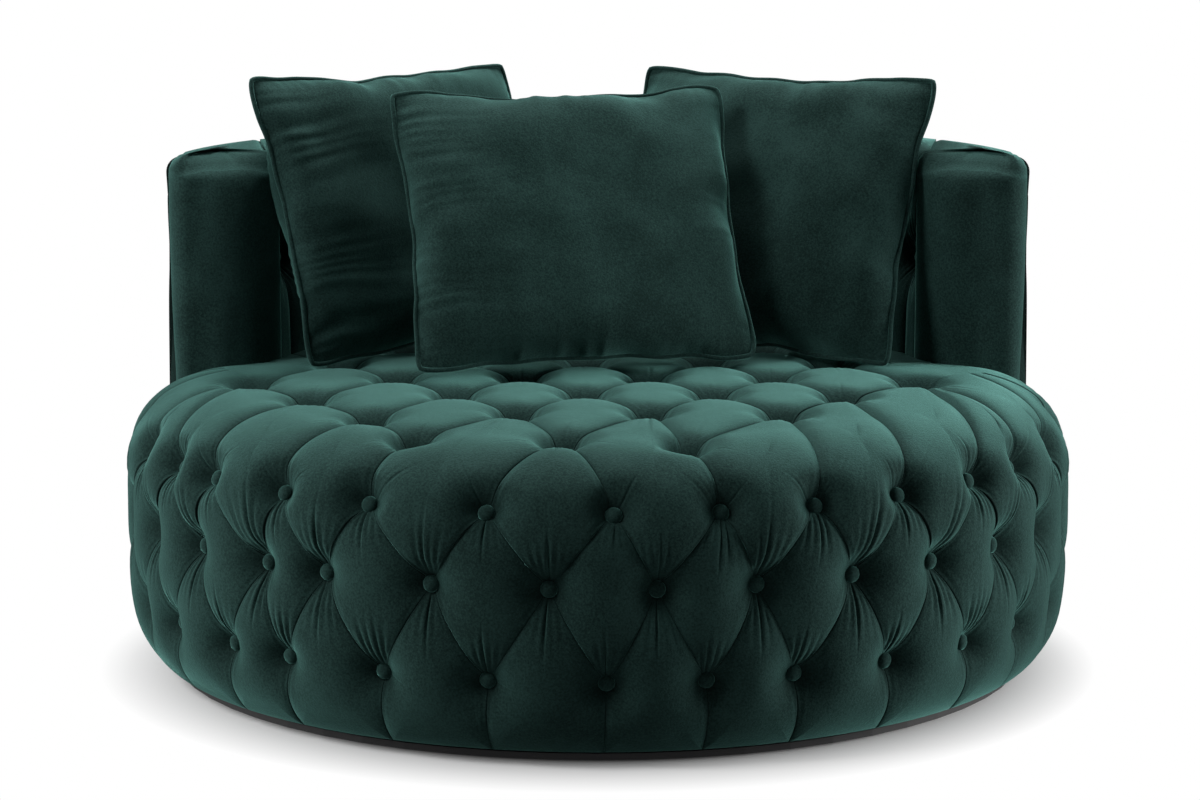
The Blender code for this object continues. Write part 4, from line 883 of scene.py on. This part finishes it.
class LOVESEAT_OT_drum(bpy.types.Operator):
    """Make the deep-buttoned seat cover, the tufted side cover and their buttons"""
    bl_idname = "loveseat.drum"
    bl_label = "Drum covers"

    def execute(self, context):
        drum = settings("drum")
        surface = DrumSurface(drum)
        field, ring, rows = drum_spots(drum, surface.profile)
        spots = {**field, **ring, **rows}
        seat = Quilt(surface, spots, 0.0095, 0.0215, steep=1.7, fullness=(5.5, 3.4), ripple=0.0016, crease=0.0055)
        side = Quilt(surface, spots)
        zigzag = [(row, bay, 0) for bay in range(drum.bays) for row in ("top", "middle")]
        for a, b in sorted({tuple(sorted(pair)) for pair in zip(zigzag, zigzag[1:] + zigzag[:1])}):
            vertices, between, depth = side.pleat(a, b)
            seat.pleats[(a, b)] = (seat.add([side.points[i] for i in vertices]), between, depth)
            seat.creases.append(seat.pleats[(a, b)][0])
        for cell in faces_of_network(spots, drum_links(drum, field, ring)):
            seat.cell(cell, side_gathers)
        self.seat_cover(drum, seat, zigzag)
        self.side_cover(drum, side, zigzag)
        make_buttons("seat_buttons", seat, ("field", "in_line", "between"))
        make_buttons("side_buttons", side, ("top", "middle", "low"))
        return {"FINISHED"}

    def seat_cover(self, drum, quilt, zigzag):
        """Sinks the cover flat under the back and closes it behind."""
        back = settings("back")
        points = quilt.points
        for i, (x, y, z) in enumerate(points):
            radius, turn = math.hypot(x, y), abs(math.atan2(x, y))
            under = back.inner_radius + UNDER_MARGIN < radius < back.outer_radius - UNDER_MARGIN
            if under and turn < back.outer_seam:
                points[i] = np.array((x, y, min(z, back.base - UNDER_DEPTH)))
        ring = quilt.line(zigzag, closed=True)
        loops = [pulled_in(points, ring, drum.inner_radius, height) for height in (None, drum.floor_height)]
        quilt.faces.append(tuple(skirt(points, quilt.faces, ring, loops)))
        quilt.finish("seat_cover_velvet", "seat_cover")

    def side_cover(self, drum, quilt, zigzag):
        """Puffs the side's diamonds and its straight pleats down to the hem, and closes it behind."""
        count = drum.bays
        top, middle, low, hem = ([(row, bay % count, 0) for bay in range(-1, count + 1)]
                                 for row in ("top", "middle", "low", "hem"))
        for bay in range(1, count + 1):
            quilt.cell([top[bay], middle[bay - 1], low[bay], middle[bay]], side_gathers)
        for bay in range(1, count + 1):
            quilt.pleat(hem[bay], hem[bay + 1], plain=True, steps=2 * PLEAT_STEPS)
            quilt.cell([middle[bay], low[bay], hem[bay], hem[bay + 1], low[bay + 1]], side_gathers,
                       plain=((hem[bay], hem[bay + 1]),))
        points, faces = quilt.points, quilt.faces
        upper, lower = (quilt.line(names, closed=True) for names in (zigzag, hem[1:-1]))
        upper = skirt(points, faces, upper, [pulled_in(points, upper, drum.inner_radius)])
        rolled = [points[i] * np.array((0.9955, 0.9955, 1.0)) - np.array((0.0, 0.0, HEM_TURN)) for i in lower]
        inner = pulled_in(points, lower, drum.inner_radius, drum.hem_height - HEM_TURN)
        lower = skirt(points, faces, lower, [rolled, inner])
        faces += bridge([upper, lower])
        quilt.finish("side_cover_velvet", "side_cover")


# Radii over which the inner and the outer face roll into the back's top
BACK_BEND = 0.0195
BACK_EDGE = 0.024
# How far the outer face's top lies lower, and the ease and the gap where the inner cover laps over it
OUTER_DROP = 0.0055
LAP_EASE = 0.0035
LAP_GAP = 0.0009
# Heights of the two staggered rows of buttons on each face
BACK_ROWS = {"inner": (0.540, 0.620), "outer": (0.555, 0.640)}
# Depths of the pleats where they meet a face's foot and its ends
FOOT_DEPTH = 0.006
END_DEPTH = 0.004


def back_cells(back, rows, reach, top):
    """Spots and cells of a curved face with two staggered rows of buttons, over distances round and along."""
    step = reach / back.bays
    last = 2 * back.bays
    spots = {}
    for column in range(last + 1):
        tufted = column % 2
        across = -reach + step * column
        spots[("bottom", column)] = (across, 0.0, FOOT_DEPTH if tufted else 0.0)
        spots[("edge", column)] = (across, top, 0.0)
        depth = END_DEPTH if column in (0, last) else back.tuft_depth
        spots[("tuft", column)] = (across, rows[0] if tufted else rows[1], depth)
    cells = []
    for end, columns in (("edge", range(0, last, 2)), ("bottom", range(1, last - 1, 2))):
        cells += [[("tuft", c), ("tuft", c + 1), ("tuft", c + 2), (end, c + 2), (end, c)] for c in columns]
    cells += [[("bottom", c), ("bottom", c + 1), ("tuft", c + 1), ("tuft", c)] for c in (0, last - 1)]
    return spots, cells


def bend_over(centre, radius, start, finish, steps=8):
    """Points of an arc in (radius, height) after its first, with angles in degrees."""
    turns = [math.radians(start + (finish - start) * i / steps) for i in range(1, steps + 1)]
    return [(centre[0] + radius * math.cos(turn), centre[1] + radius * math.sin(turn)) for turn in turns]


class LOVESEAT_OT_back(bpy.types.Operator):
    """Make the back's tufted covers and their buttons"""
    bl_idname = "loveseat.back"
    bl_label = "Back covers"

    def execute(self, context):
        back = settings("back")
        bend = back.top - BACK_BEND
        face = [(back.inner_radius, back.base), (back.inner_radius, bend)]
        face += bend_over((back.inner_radius + BACK_BEND, bend), BACK_BEND, 180.0, 90.0)
        hidden = back.inner_radius + back.inner_padding
        rest = [(back.wrap_radius - LAP_EASE, back.top), (back.wrap_radius, back.top - LAP_EASE),
                (back.wrap_radius, back.padding_top), (hidden, back.padding_top), (hidden, back.base)]
        seams = [self.seam_turn(back, radius) for radius, _ in rest[:4]] + [back.inner_seam]
        self.cover("inner", back, face, rest, seams, back.inner_seam)
        swell = back.outer_radius + back.bulge
        top = back.top - OUTER_DROP
        face = [(swell, back.base), (swell, top - BACK_EDGE)]
        face += bend_over((swell - BACK_EDGE, top - BACK_EDGE), BACK_EDGE, 0.0, 90.0)
        hidden = back.outer_radius - back.outer_padding
        wrap = back.wrap_radius + LAP_GAP
        rest = [(wrap, top), (wrap, back.padding_top), (hidden, back.padding_top), (hidden, back.base)]
        self.cover("outer", back, face, rest, [back.outer_seam] * len(rest), back.outer_seam)
        return {"FINISHED"}

    def seam_turn(self, back, radius):
        """The angle at which the straight seam over the top crosses a radius."""
        start = Vector((math.sin(back.inner_seam), math.cos(back.inner_seam))) * (back.inner_radius + BACK_BEND)
        end = Vector((math.sin(back.top_seam), math.cos(back.top_seam))) * back.wrap_radius
        run = (end - start).normalized()
        dot = start.dot(run)
        point = start + run * (math.sqrt(dot * dot - start.length_squared + radius * radius) - dot)
        return math.atan2(point.x, point.y)

    def cover(self, side, back, outline, rest, seams, seam):
        """A tufted face over an outline, closed behind through the rest of its section."""
        radius = outline[0][0]
        surface = BackSurface(outline, radius, 1.0 if side == "inner" else -1.0)
        last = 2 * back.bays
        rows = [height - back.base for height in BACK_ROWS[side]]
        spots, cells = back_cells(back, rows, seam * radius, surface.profile.lengths[-1])
        quilt = Quilt(surface, spots)
        edge = [("edge", column) for column in range(0, last + 1, 2)]
        bottom = [("bottom", column) for column in (0, *range(1, last, 2), last)]
        plain = {pair for names in (edge, bottom) for pair in zip(names, names[1:])}
        for cell in cells:
            quilt.cell(cell, back_gathers, plain)
        points, faces = quilt.points, quilt.faces
        upper, lower = quilt.line(edge), quilt.line(bottom)
        parts = [math.atan2(points[i][0], points[i][1]) / seam for i in upper]
        sections = [upper]
        for (r, z), turn in zip(rest, seams):
            row = [np.array((r * math.sin(turn * p), r * math.cos(turn * p), z)) for p in parts]
            sections.append(appended(points, row))
        faces += bridge(sections, closed=False)
        faces.append(tuple(sections[-1]) + tuple(reversed(lower)))
        for end, column in ((0, 0), (-1, last)):
            run = quilt.line([("bottom", column), ("tuft", column), ("edge", column)])
            faces.append(tuple(run) + tuple(row[end] for row in sections[1:]))
        quilt.finish("back_" + side + "_velvet", "back_" + side + "_cover")
        make_buttons("back_" + side + "_buttons", quilt, ("tuft",))


# Arm fronts and pillows

# How far an arm's top domes, and how far below it the hidden side ends
ARM_DOME = 0.004
ARM_LID = 0.003
# How the padding rolls over an arm's top, by share of the way round its end: the bend's height and its depth
ROLL_HEIGHT = ((0.0, 0.3, 0.6, 0.8, 1.0), (BACK_BEND, 0.052, 0.048, 0.0285, 0.026))
ROLL_DEPTH = ((0.0, 0.12, 0.35, 0.6, 0.8, 1.0), (BACK_BEND, 0.045, 0.085, 0.085, 0.0285, 0.026))


class LOVESEAT_OT_arm_fronts(bpy.types.Operator):
    """Make the two plain padded panels that wrap the ends of the back"""
    bl_idname = "loveseat.arm_fronts"
    bl_label = "Arm fronts"

    def execute(self, context):
        back = settings("back")
        for side, word in ((-1, "left"), (1, "right")):
            piece = finished_mesh("arm_front_" + word + "_velvet", *self.panel(back, side))
            dress(piece, velvet("green_velvet"), "velvet", 0.95, "arm_front_" + word)
        return {"FINISHED"}

    def nose(self, back):
        """The rounded end in plan from the inner seam round to the outer one: places and outward directions."""
        seam = back.inner_seam
        middle = np.array((math.sin(seam), math.cos(seam))) * (back.inner_radius + back.nose)
        bend_y = middle[1] - back.nose + back.corner
        bend = np.array((math.sqrt((back.outer_radius - back.corner) ** 2 - bend_y ** 2), bend_y))
        arcs = ((middle, back.nose, 1.5 * math.pi - seam, 1.5 * math.pi, 34),
                (bend, back.corner, -math.pi / 2, math.atan2(bend[1], bend[0]), 16))
        places, outward = [], []
        for centre, radius, start, finish, steps in arcs:
            for i in range(steps + 1):
                turn = start + (finish - start) * i / steps
                outward.append((math.cos(turn), math.sin(turn)))
                places.append(centre + radius * np.array(outward[-1]))
            if radius == back.nose:
                for part in (0.2, 0.4, 0.6, 0.8):
                    outward.append((0.0, -1.0))
                    places.append(np.array((middle[0] + (bend[0] - middle[0]) * part, middle[1] - back.nose)))
        outward.append((math.sin(back.outer_seam), math.cos(back.outer_seam)))
        places.append(back.outer_radius * np.array(outward[-1]))
        return np.array(places), np.array(outward)

    def behind(self, back, upper, count=26):
        """The hidden side in plan, from the outer seam back to the inner one."""
        hidden = back.outer_radius - back.outer_padding
        outer, inner, top = back.outer_seam, back.inner_seam, back.top_seam
        if upper:
            corners = [(outer, back.outer_radius), (outer, back.wrap_radius)]
            corners += [(outer + (top - outer) * i / 6, back.wrap_radius) for i in range(1, 7)]
            corners.append((inner, back.inner_radius + BACK_BEND))
        else:
            corners = [(outer, back.outer_radius), (outer, hidden), (inner, hidden), (inner, back.inner_radius)]
        line = np.array([(r * math.sin(turn), r * math.cos(turn)) for turn, r in corners])
        runs = np.concatenate(([0.0], np.cumsum(np.hypot(*np.diff(line, axis=0).T))))
        at = np.linspace(0.0, runs[-1], count + 2)[1:-1]
        return np.stack([np.interp(at, runs, line[:, k]) for k in (0, 1)], axis=1)

    def panel(self, back, side, levels=30):
        """The padded panel on one side: its points and faces."""
        places, outward = self.nose(back)
        along = np.concatenate(([0.0], np.cumsum(np.hypot(*np.diff(places, axis=0).T))))
        along /= along[-1]
        rim, deep = np.interp(along, *ROLL_HEIGHT), np.interp(along, *ROLL_DEPTH)
        lower, upper = self.behind(back, False), self.behind(back, True)
        tall = back.top - back.base
        loops = []
        for i in range(levels + 1):
            part = i / levels
            run = part * (tall - rim + rim * math.pi / 2)
            turn = np.maximum(0.0, run - (tall - rim)) / rim
            height = back.base + np.minimum(run, tall - rim) + rim * np.sin(turn)
            inset = deep * (1.0 - np.cos(turn)) + self.drawn_in(back, along, height)
            wall = back.base + (tall - ARM_LID) * part
            if wall > back.padding_top and len(loops) and loops[-1][2] is lower:
                loops.append((loops[-1][0], loops[-1][1], upper, loops[-1][3]))
            wall_plan = upper if wall > back.padding_top else lower
            loops.append((places - outward * inset[:, None], height, wall_plan, wall))
        points, rows = [], []
        for near, height, wall, wall_height in loops:
            loop = [np.array((side * x, y, z)) for (x, y), z in zip(near, height)]
            loop += [np.array((side * x, y, wall_height)) for x, y in wall]
            rows.append(appended(points, loop))
        edge = np.array([points[i] for i in rows[-1]])
        middle = edge[:len(places)].mean(axis=0)
        for level in (0.9, 0.75, 0.55, 0.3):
            ring = middle + (edge - middle) * level
            ring[:, 2] = back.top + ARM_DOME * (1.0 - level ** 2)
            rows.append(appended(points, ring))
        faces = bridge(rows)
        top = appended(points, [middle + np.array((0.0, 0.0, ARM_DOME))])[0]
        faces += [(*pair, top) for pair in zip(rows[-1], rows[-1][1:] + rows[-1][:1])]
        faces.append(tuple(reversed(rows[0])))
        return points, faces

    def drawn_in(self, back, along, height):
        """How far the panel draws in: tightest at its foot, slack in the middle, uneven all over."""
        part = (height - back.base) / (back.top - back.base)
        held = np.sin(np.pi * along)
        uneven = noises([(7.0 * a, 6.0 * b, 1.7) for a, b in zip(along, part)])
        return 0.006 * (1.0 - part) ** 2 * along - 0.003 * np.sin(np.pi * part) * held + 0.0018 * uneven * held


# Each pillow's turn, lean and roll in degrees
PILLOWS = (
    ("left", 44.0, 18.4, 0.0),
    ("right", -33.5, 18.9, 0.0),
    ("front", 14.5, 28.5, 0.2),
)
CLOTH = {"quality": 6, "mass": 0.3, "tension_stiffness": 14.0, "compression_stiffness": 14.0,
         "shear_stiffness": 7.0, "bending_stiffness": 0.10, "use_pressure": True}
CLOTH_FRAMES = 20
CALM_ROUNDS = 24
FULL_CELLS = 76
# How much the corners are rounded, and the share of the seam's own ups and downs that is kept
EAR_ROUNDING = 0.040
SEAM_KEPT = 0.35
# Length of the gathers, distance between them and their depth: on the side that hangs slack, and on the others
SLACK_GATHERS = (0.075, 0.052, 0.0080)
TIGHT_GATHERS = (0.026, 0.040, 0.0030)
SLOW_FOLDS = 0.007
# How far the finished outline strays along the pillow's own axes
STRAY = (0.0060, 0.0045, 0.0060)


def pillow_blank(name, sizes, cells):
    """Two plump layers of cloth joined round their edge: the piece, its edge and each vertex's (a, b, face)."""
    points, faces, index, spots = [], [], {}, []
    for face in (-1, 1):
        for i in range(cells + 1):
            for j in range(cells + 1):
                edge = i in (0, cells) or j in (0, cells)
                if edge and face > 0:
                    index[(i, j, face)] = index[(i, j, -1)]
                    continue
                a, b = 2.0 * i / cells - 1.0, 2.0 * j / cells - 1.0
                ear = 1.0 - EAR_ROUNDING * (a * a * b * b) ** 5
                x = a * (sizes.width / 2 - sizes.draw * (1.0 - b * b) ** 1.2) * ear
                z = b * (sizes.height / 2 - sizes.draw * (1.0 - a * a) ** 1.2) * ear
                swell = 0.0 if edge else ((1.0 - abs(a) ** 2.6) * (1.0 - abs(b) ** 2.6)) ** 0.56
                index[(i, j, face)] = len(points)
                spots.append((a, b, 0 if edge else face))
                points.append((x, face * swell * sizes.thickness * 0.47, z))
    for face in (-1, 1):
        for i in range(cells):
            for j in range(cells):
                corners = ((i, j), (i + 1, j), (i + 1, j + 1), (i, j + 1))
                faces.append(tuple(index[(*corner, face)] for corner in corners)[::-face])
    edge = [(i, 0) for i in range(cells)] + [(cells, j) for j in range(cells)]
    edge += [(i, cells) for i in range(cells, 0, -1)] + [(0, j) for j in range(cells, 0, -1)]
    return finished_mesh(name, points, faces), [index[(*place, -1)] for place in edge], np.array(spots)


def inflated(piece, pressure):
    """The piece after Blender's cloth has filled it with air, with no gravity."""
    name = piece.name
    cloth = piece.modifiers.new("Cloth", "CLOTH")
    for key, value in CLOTH.items():
        setattr(cloth.settings, key, value)
    cloth.settings.uniform_pressure_force = pressure
    cloth.settings.effector_weights.gravity = 0.0
    cloth.collision_settings.use_collision = False
    cloth.point_cache.frame_start, cloth.point_cache.frame_end = 1, CLOTH_FRAMES
    scene = bpy.context.scene
    scene.frame_start, scene.frame_end = 1, CLOTH_FRAMES
    for step in range(1, CLOTH_FRAMES + 1):
        scene.frame_set(step)
    piece = plain_copy(piece, name)
    scene.frame_set(1)
    return piece


def calmed(piece, free):
    """The piece's points after a few rounds of averaging of the free ones with their neighbours."""
    points = np.array([v.co for v in piece.data.vertices])
    pairs = np.array([edge.vertices for edge in piece.data.edges])
    count = np.bincount(pairs.ravel(), minlength=len(points))[:, None]
    for step in range(CALM_ROUNDS):
        total = np.zeros_like(points)
        np.add.at(total, pairs[:, 0], points[pairs[:, 1]])
        np.add.at(total, pairs[:, 1], points[pairs[:, 0]])
        points[free] = (0.5 * points + 0.5 * total / count)[free]
    return points


class LOVESEAT_OT_pillows(bpy.types.Operator):
    """Make the three filled pillows with their piping"""
    bl_idname = "loveseat.pillows"
    bl_label = "Pillows"

    def execute(self, context):
        sizes = settings("pillows")
        finish = velvet("green_velvet_pillow", brushed=1.8)
        cells = FULL_CELLS
        for order, (name, *angles) in enumerate(PILLOWS):
            blank, edge, spots = pillow_blank("pillow_" + name + "_velvet", sizes, cells)
            piece = self.shaped(blank, spots, sizes, order)
            piece.data.transform(self.placing("pillow_" + name, *map(math.radians, angles)))
            seam = bpy.data.meshes.new("seam_" + name)
            seam.from_pydata([tuple(piece.data.vertices[i].co) for i in edge],
                             [(i, (i + 1) % len(edge)) for i in range(len(edge))], [])
            subdivision = piece.modifiers.new("Subdivision", "SUBSURF")
            subdivision.levels = subdivision.render_levels = 1
            dress(piece, finish, "velvet_pillow", sizes.fill, "pillow_" + name)
            cord = built("piping_" + name + "_velvet", seam, piping, {"Radius": sizes.piping, "Finish": finish})
            dress(cord, finish, "velvet_pillow", 1.0, "piping_" + name)
        return {"FINISHED"}

    def shaped(self, piece, spots, sizes, order):
        """Fills the blank with air, brings it back to its outline and gives its seams their puckers."""
        before = np.array([v.co for v in piece.data.vertices])
        a, b, face = spots.T
        free = face != 0
        start = before.copy()
        start[:, 1] += 0.003 * noises(before, 17.0, (9.0 * order, 0.0, 0.0)) * free
        piece.data.vertices.foreach_set("co", start.ravel())
        piece = inflated(piece, sizes.pressure)
        after = calmed(piece, free)
        points = after.copy()
        for k, way, across in ((0, a, b), (2, b, a)):
            drawn = {}
            for sign in (-1, 1):
                on = (way == sign) & ~free
                order_of = np.argsort(across[on])
                drawn[sign] = np.interp(across, across[on][order_of], (after[on, k] - before[on, k])[order_of])
            part = (way + 1.0) / 2.0
            points[:, k] = after[:, k] - (drawn[-1] * (1.0 - part) + drawn[1] * part)
        points[:, 1] *= sizes.thickness * 0.5 / np.abs(points[:, 1]).max()
        points[~free, 1] *= SEAM_KEPT
        points[:, 1] += face * self.puckers(a, b, sizes, order)
        for k, reach in enumerate(STRAY):
            points[:, k] += reach * noises(before, 15.0, (37.0 * k + 3.3, 5.0 * order, 0.7))
        piece.data.vertices.foreach_set("co", points.ravel())
        piece.data.update()
        return piece

    def puckers(self, a, b, sizes, order):
        """Short gathers square to each seam, deepest beside it, and slow folds over the face."""
        lift = np.zeros(len(a))
        sides = ((a, b, sizes.width), (-a, b, sizes.width), (b, a, sizes.height), (-b, a, sizes.height))
        for side, (way, across, size) in enumerate(sides):
            reach, pitch, strength = SLACK_GATHERS if side == 1 else TIGHT_GATHERS
            inward = (1.0 - way) * size / 2
            near = np.clip(inward / 0.008, 0.0, 1.0) * np.exp(-(inward / reach) ** 1.4)
            seed = 5.0 * side + 11.0 * order
            wander = noises([(3.1 * s, 3.5 * d, seed) for s, d in zip(across, inward)])
            uneven = noises([(4.3 * s + 2.0 * d, 1.0, seed + 2.5) for s, d in zip(across, inward)])
            wave = 0.5 + 0.5 * np.cos(2.0 * np.pi * (across * size / pitch + 1.8 * wander))
            lift -= strength * near * wave ** 1.4 * np.clip(0.55 + 0.9 * uneven, 0.0, 1.0) * (1.0 - across ** 8)
        slow = noises([(1.8 * x, 0.9 * z, 4.0 + 6.0 * order) for x, z in zip(a, b)])
        return lift + SLOW_FOLDS * slow * (1.0 - a ** 4) * (1.0 - b ** 4)

    def placing(self, node, turn, lean, roll):
        """Where the pillow lies: its solid's middle, and its own turn, lean and roll."""
        corners = np.array([v.co for v in frame["nodes"][node].data.vertices])
        middle = Vector((corners.min(axis=0) + corners.max(axis=0)) / 2)
        rotation = Matrix.Rotation(turn, 4, "Z") @ Matrix.Rotation(-lean, 4, "X") @ Matrix.Rotation(roll, 4, "Y")
        return Matrix.Translation(middle) @ rotation


# Pieces carried over from the frame

FINISHES = {
    "plinth_black": dict(tone=(0.012, 0.012, 0.013), roughness=0.6, grain=0.3, scale=30.0, bump=0.1),
    "felt": dict(tone=(0.10, 0.10, 0.10), roughness=0.95, grain=0.35, scale=400.0, bump=0.6),
    "steel": dict(tone=(0.55, 0.56, 0.58), roughness=0.35, metallic=1.0, grain=0.12, scale=60.0, bump=0.1),
    "nylon": dict(tone=(0.75, 0.75, 0.72), roughness=0.45, grain=0.05, scale=90.0, bump=0.05),
    "plywood": dict(tone=(0.55, 0.38, 0.22), roughness=0.65, grain=0.25, scale=14.0, stretch=(1.0, 6.0, 6.0)),
    "hardboard": dict(tone=(0.30, 0.19, 0.11), roughness=0.7, grain=0.2, scale=120.0),
    "webbing": dict(tone=(0.07, 0.07, 0.08), roughness=0.85, grain=0.4, scale=300.0, bump=0.5),
    "foam": dict(tone=(0.80, 0.76, 0.62), roughness=0.9, grain=0.12, scale=500.0, bump=0.7),
}


class LOVESEAT_OT_frame(bpy.types.Operator):
    """Finish the base, the swivel and the frame, and replace the seat's foam"""
    bl_idname = "loveseat.frame"
    bl_label = "Frame and base"

    def execute(self, context):
        made = {slot: plain_material(slot + "_finish", **look) for slot, look in FINISHES.items()}
        for entry in frame["record"]["subparts"]:
            if entry["material_slot"] in made and entry["node"] != "seat_foam":
                mesh = frame["nodes"][entry["node"]].data
                mesh.materials.clear()
                mesh.materials.append(made[entry["material_slot"]])
        dress(self.foam(), made["foam"], "foam", 0.8, "seat_foam")
        return {"FINISHED"}

    def foam(self):
        """The foam disc in the deck, with its loose triangles joined and its edges softened."""
        shape = bmesh.new()
        shape.from_mesh(frame["nodes"]["seat_foam"].data)
        bmesh.ops.remove_doubles(shape, verts=shape.verts, dist=1e-5)
        mesh = bpy.data.meshes.new("seat_foam_disc")
        shape.to_mesh(mesh)
        shape.free()
        piece = placed("seat_foam_disc", mesh)
        bevel = piece.modifiers.new("Bevel", "BEVEL")
        bevel.width, bevel.segments = 0.004, 3
        bevel.limit_method, bevel.angle_limit = "ANGLE", math.radians(50.0)
        return plain_copy(piece, "seat_foam_disc")


# Stage

# Each lamp's place, the spot it faces, its size and its power
LAMPS = {
    "key": ((-2.9, -1.6, 3.0), (0.0, 0.0, 0.35), (1.1, 1.1), 70.0),
    "overhead": ((0.0, 1.2, 3.2), (0.0, 0.1, 0.35), (1.5, 1.1), 66.0),
    "left": ((-3.2, -0.1, 0.55), (0.0, 0.0, 0.25), (1.6, 1.1), 34.0),
    "right": ((3.2, -0.1, 0.55), (0.0, 0.0, 0.25), (1.6, 1.1), 76.0),
}
FLOOR_REACH = 30.0
# How the floor fades into white with the distance from the seat's middle: slope and offset
FLOOR_FADE = (6.9, -3.83)


class LOVESEAT_OT_stage(bpy.types.Operator):
    """Make the pale floor, the soft studio lamps and the camera"""
    bl_idname = "loveseat.stage"
    bl_label = "Stage"

    def execute(self, context):
        scene = context.scene
        scene.view_settings.view_transform = "Standard"
        self.floor()
        self.world(scene)
        for name, (place, aim, size, power) in LAMPS.items():
            lamp = bpy.data.lights.new(name, "AREA")
            lamp.shape = "RECTANGLE"
            lamp.size, lamp.size_y = size
            lamp.energy = power
            holder = placed(name, lamp)
            holder.location = place
            holder.rotation_euler = (Vector(aim) - Vector(place)).to_track_quat("-Z", "Y").to_euler()
        stage = settings("stage")
        scene.camera = placed("camera", bpy.data.cameras.new("camera"))
        scene.camera.data.lens = stage.lens
        scene.camera.location = (stage.eye_side, -stage.distance, stage.eye_height)
        scene.camera.rotation_euler = (math.pi / 2 - stage.pitch, 0.0, 0.0)
        return {"FINISHED"}

    def floor(self):
        """A pale floor that the camera sees melt into white away from the seat."""
        mesh = bpy.data.meshes.new("studio_floor")
        corners = ((-1, -1), (1, -1), (1, 1), (-1, 1))
        mesh.from_pydata([(FLOOR_REACH * x, FLOOR_REACH * y, 0.0) for x, y in corners], [], [(0, 1, 2, 3)])
        shader = Shader("studio_floor")
        place = shader.mapped(Location=(0.0, 0.03, 0.0))
        distance = shader.node("ShaderNodeVectorMath", {"operation": "LENGTH"}, {0: place})("Value")
        far = distance.math("ADD", distance * FLOOR_FADE[0], FLOOR_FADE[1], clamp=True)
        camera = shader.node("ShaderNodeLightPath")("Is Camera Ray")
        glow = shader.node("ShaderNodeEmission", {}, {"Color": grey(1.0), "Strength": 1.0})("Emission")
        shader.finish(Base_Color=shader.mix(camera, grey(0.30), grey(0.86)), Roughness=0.9, Specular_IOR_Level=0.1)
        inputs = {0: far * camera, 1: Wire(shader, shader.surface.outputs[0]), 2: glow}
        blend = shader.node("ShaderNodeMixShader", {}, inputs)(0)
        shader.fill(shader.tree.nodes["Material Output"], {"Surface": blend})
        mesh.materials.append(shader.material)
        placed("studio_floor", mesh)

    def world(self, scene):
        """White behind all that the camera sees, mirrored or through glass too, and a faint light for the rest."""
        scene.world = bpy.data.worlds.new("studio")
        scene.world.use_nodes = True
        tree = Tree(scene.world.node_tree)
        ambient = tree.tree.nodes["Background"]
        tree.fill(ambient, {"Color": (0.97, 0.98, 1.0, 1.0), "Strength": 0.03})
        white = tree.node("ShaderNodeBackground", {}, {"Color": grey(1.0), "Strength": 1.0})("Background")
        rays = tree.node("ShaderNodeLightPath")
        seen = rays("Is Camera Ray")
        for other in ("Is Glossy Ray", "Is Transmission Ray"):
            seen = seen.math("MAXIMUM", seen, rays(other))
        blend = tree.node("ShaderNodeMixShader", {}, {0: seen, 1: Wire(tree, ambient.outputs[0]), 2: white})(0)
        tree.fill(tree.tree.nodes["World Output"], {"Surface": blend})


class LOVESEAT_PT_panel(bpy.types.Panel):
    """Settings and steps of the loveseat"""
    bl_idname = "LOVESEAT_PT_panel"
    bl_label = "Loveseat"
    bl_space_type = "VIEW_3D"
    bl_region_type = "UI"
    bl_category = "Loveseat"

    def draw(self, context):
        layout = self.layout
        for name, group, operator in STEPS:
            box = layout.box()
            box.operator(operator)
            for key in group.__annotations__:
                box.prop(settings(name), key)


STEPS = (
    ("drum", DrumSettings, "loveseat.drum"),
    ("back", BackSettings, "loveseat.back"),
    ("buttons", ButtonSettings, "loveseat.arm_fronts"),
    ("pillows", PillowSettings, "loveseat.pillows"),
    ("velvet", VelvetSettings, "loveseat.frame"),
    ("stage", StageSettings, "loveseat.stage"),
)
CLASSES = (LOVESEAT_OT_drum, LOVESEAT_OT_back, LOVESEAT_OT_arm_fronts, LOVESEAT_OT_pillows,
           LOVESEAT_OT_frame, LOVESEAT_OT_stage, LOVESEAT_PT_panel)


def register():
    for name, group, _ in STEPS:
        bpy.utils.register_class(group)
        setattr(bpy.types.Scene, "loveseat_" + name, PointerProperty(type=group))
    for kind in CLASSES:
        bpy.utils.register_class(kind)


def unregister():
    for kind in reversed(CLASSES):
        bpy.utils.unregister_class(kind)
    for name, group, _ in reversed(STEPS):
        delattr(bpy.types.Scene, "loveseat_" + name)
        bpy.utils.unregister_class(group)


def main():
    register()
    bpy.ops.loveseat.drum()
    bpy.ops.loveseat.back()
    bpy.ops.loveseat.arm_fronts()
    bpy.ops.loveseat.pillows()
    bpy.ops.loveseat.frame()
    bpy.ops.loveseat.stage()


if __name__ == "__main__":
    main()
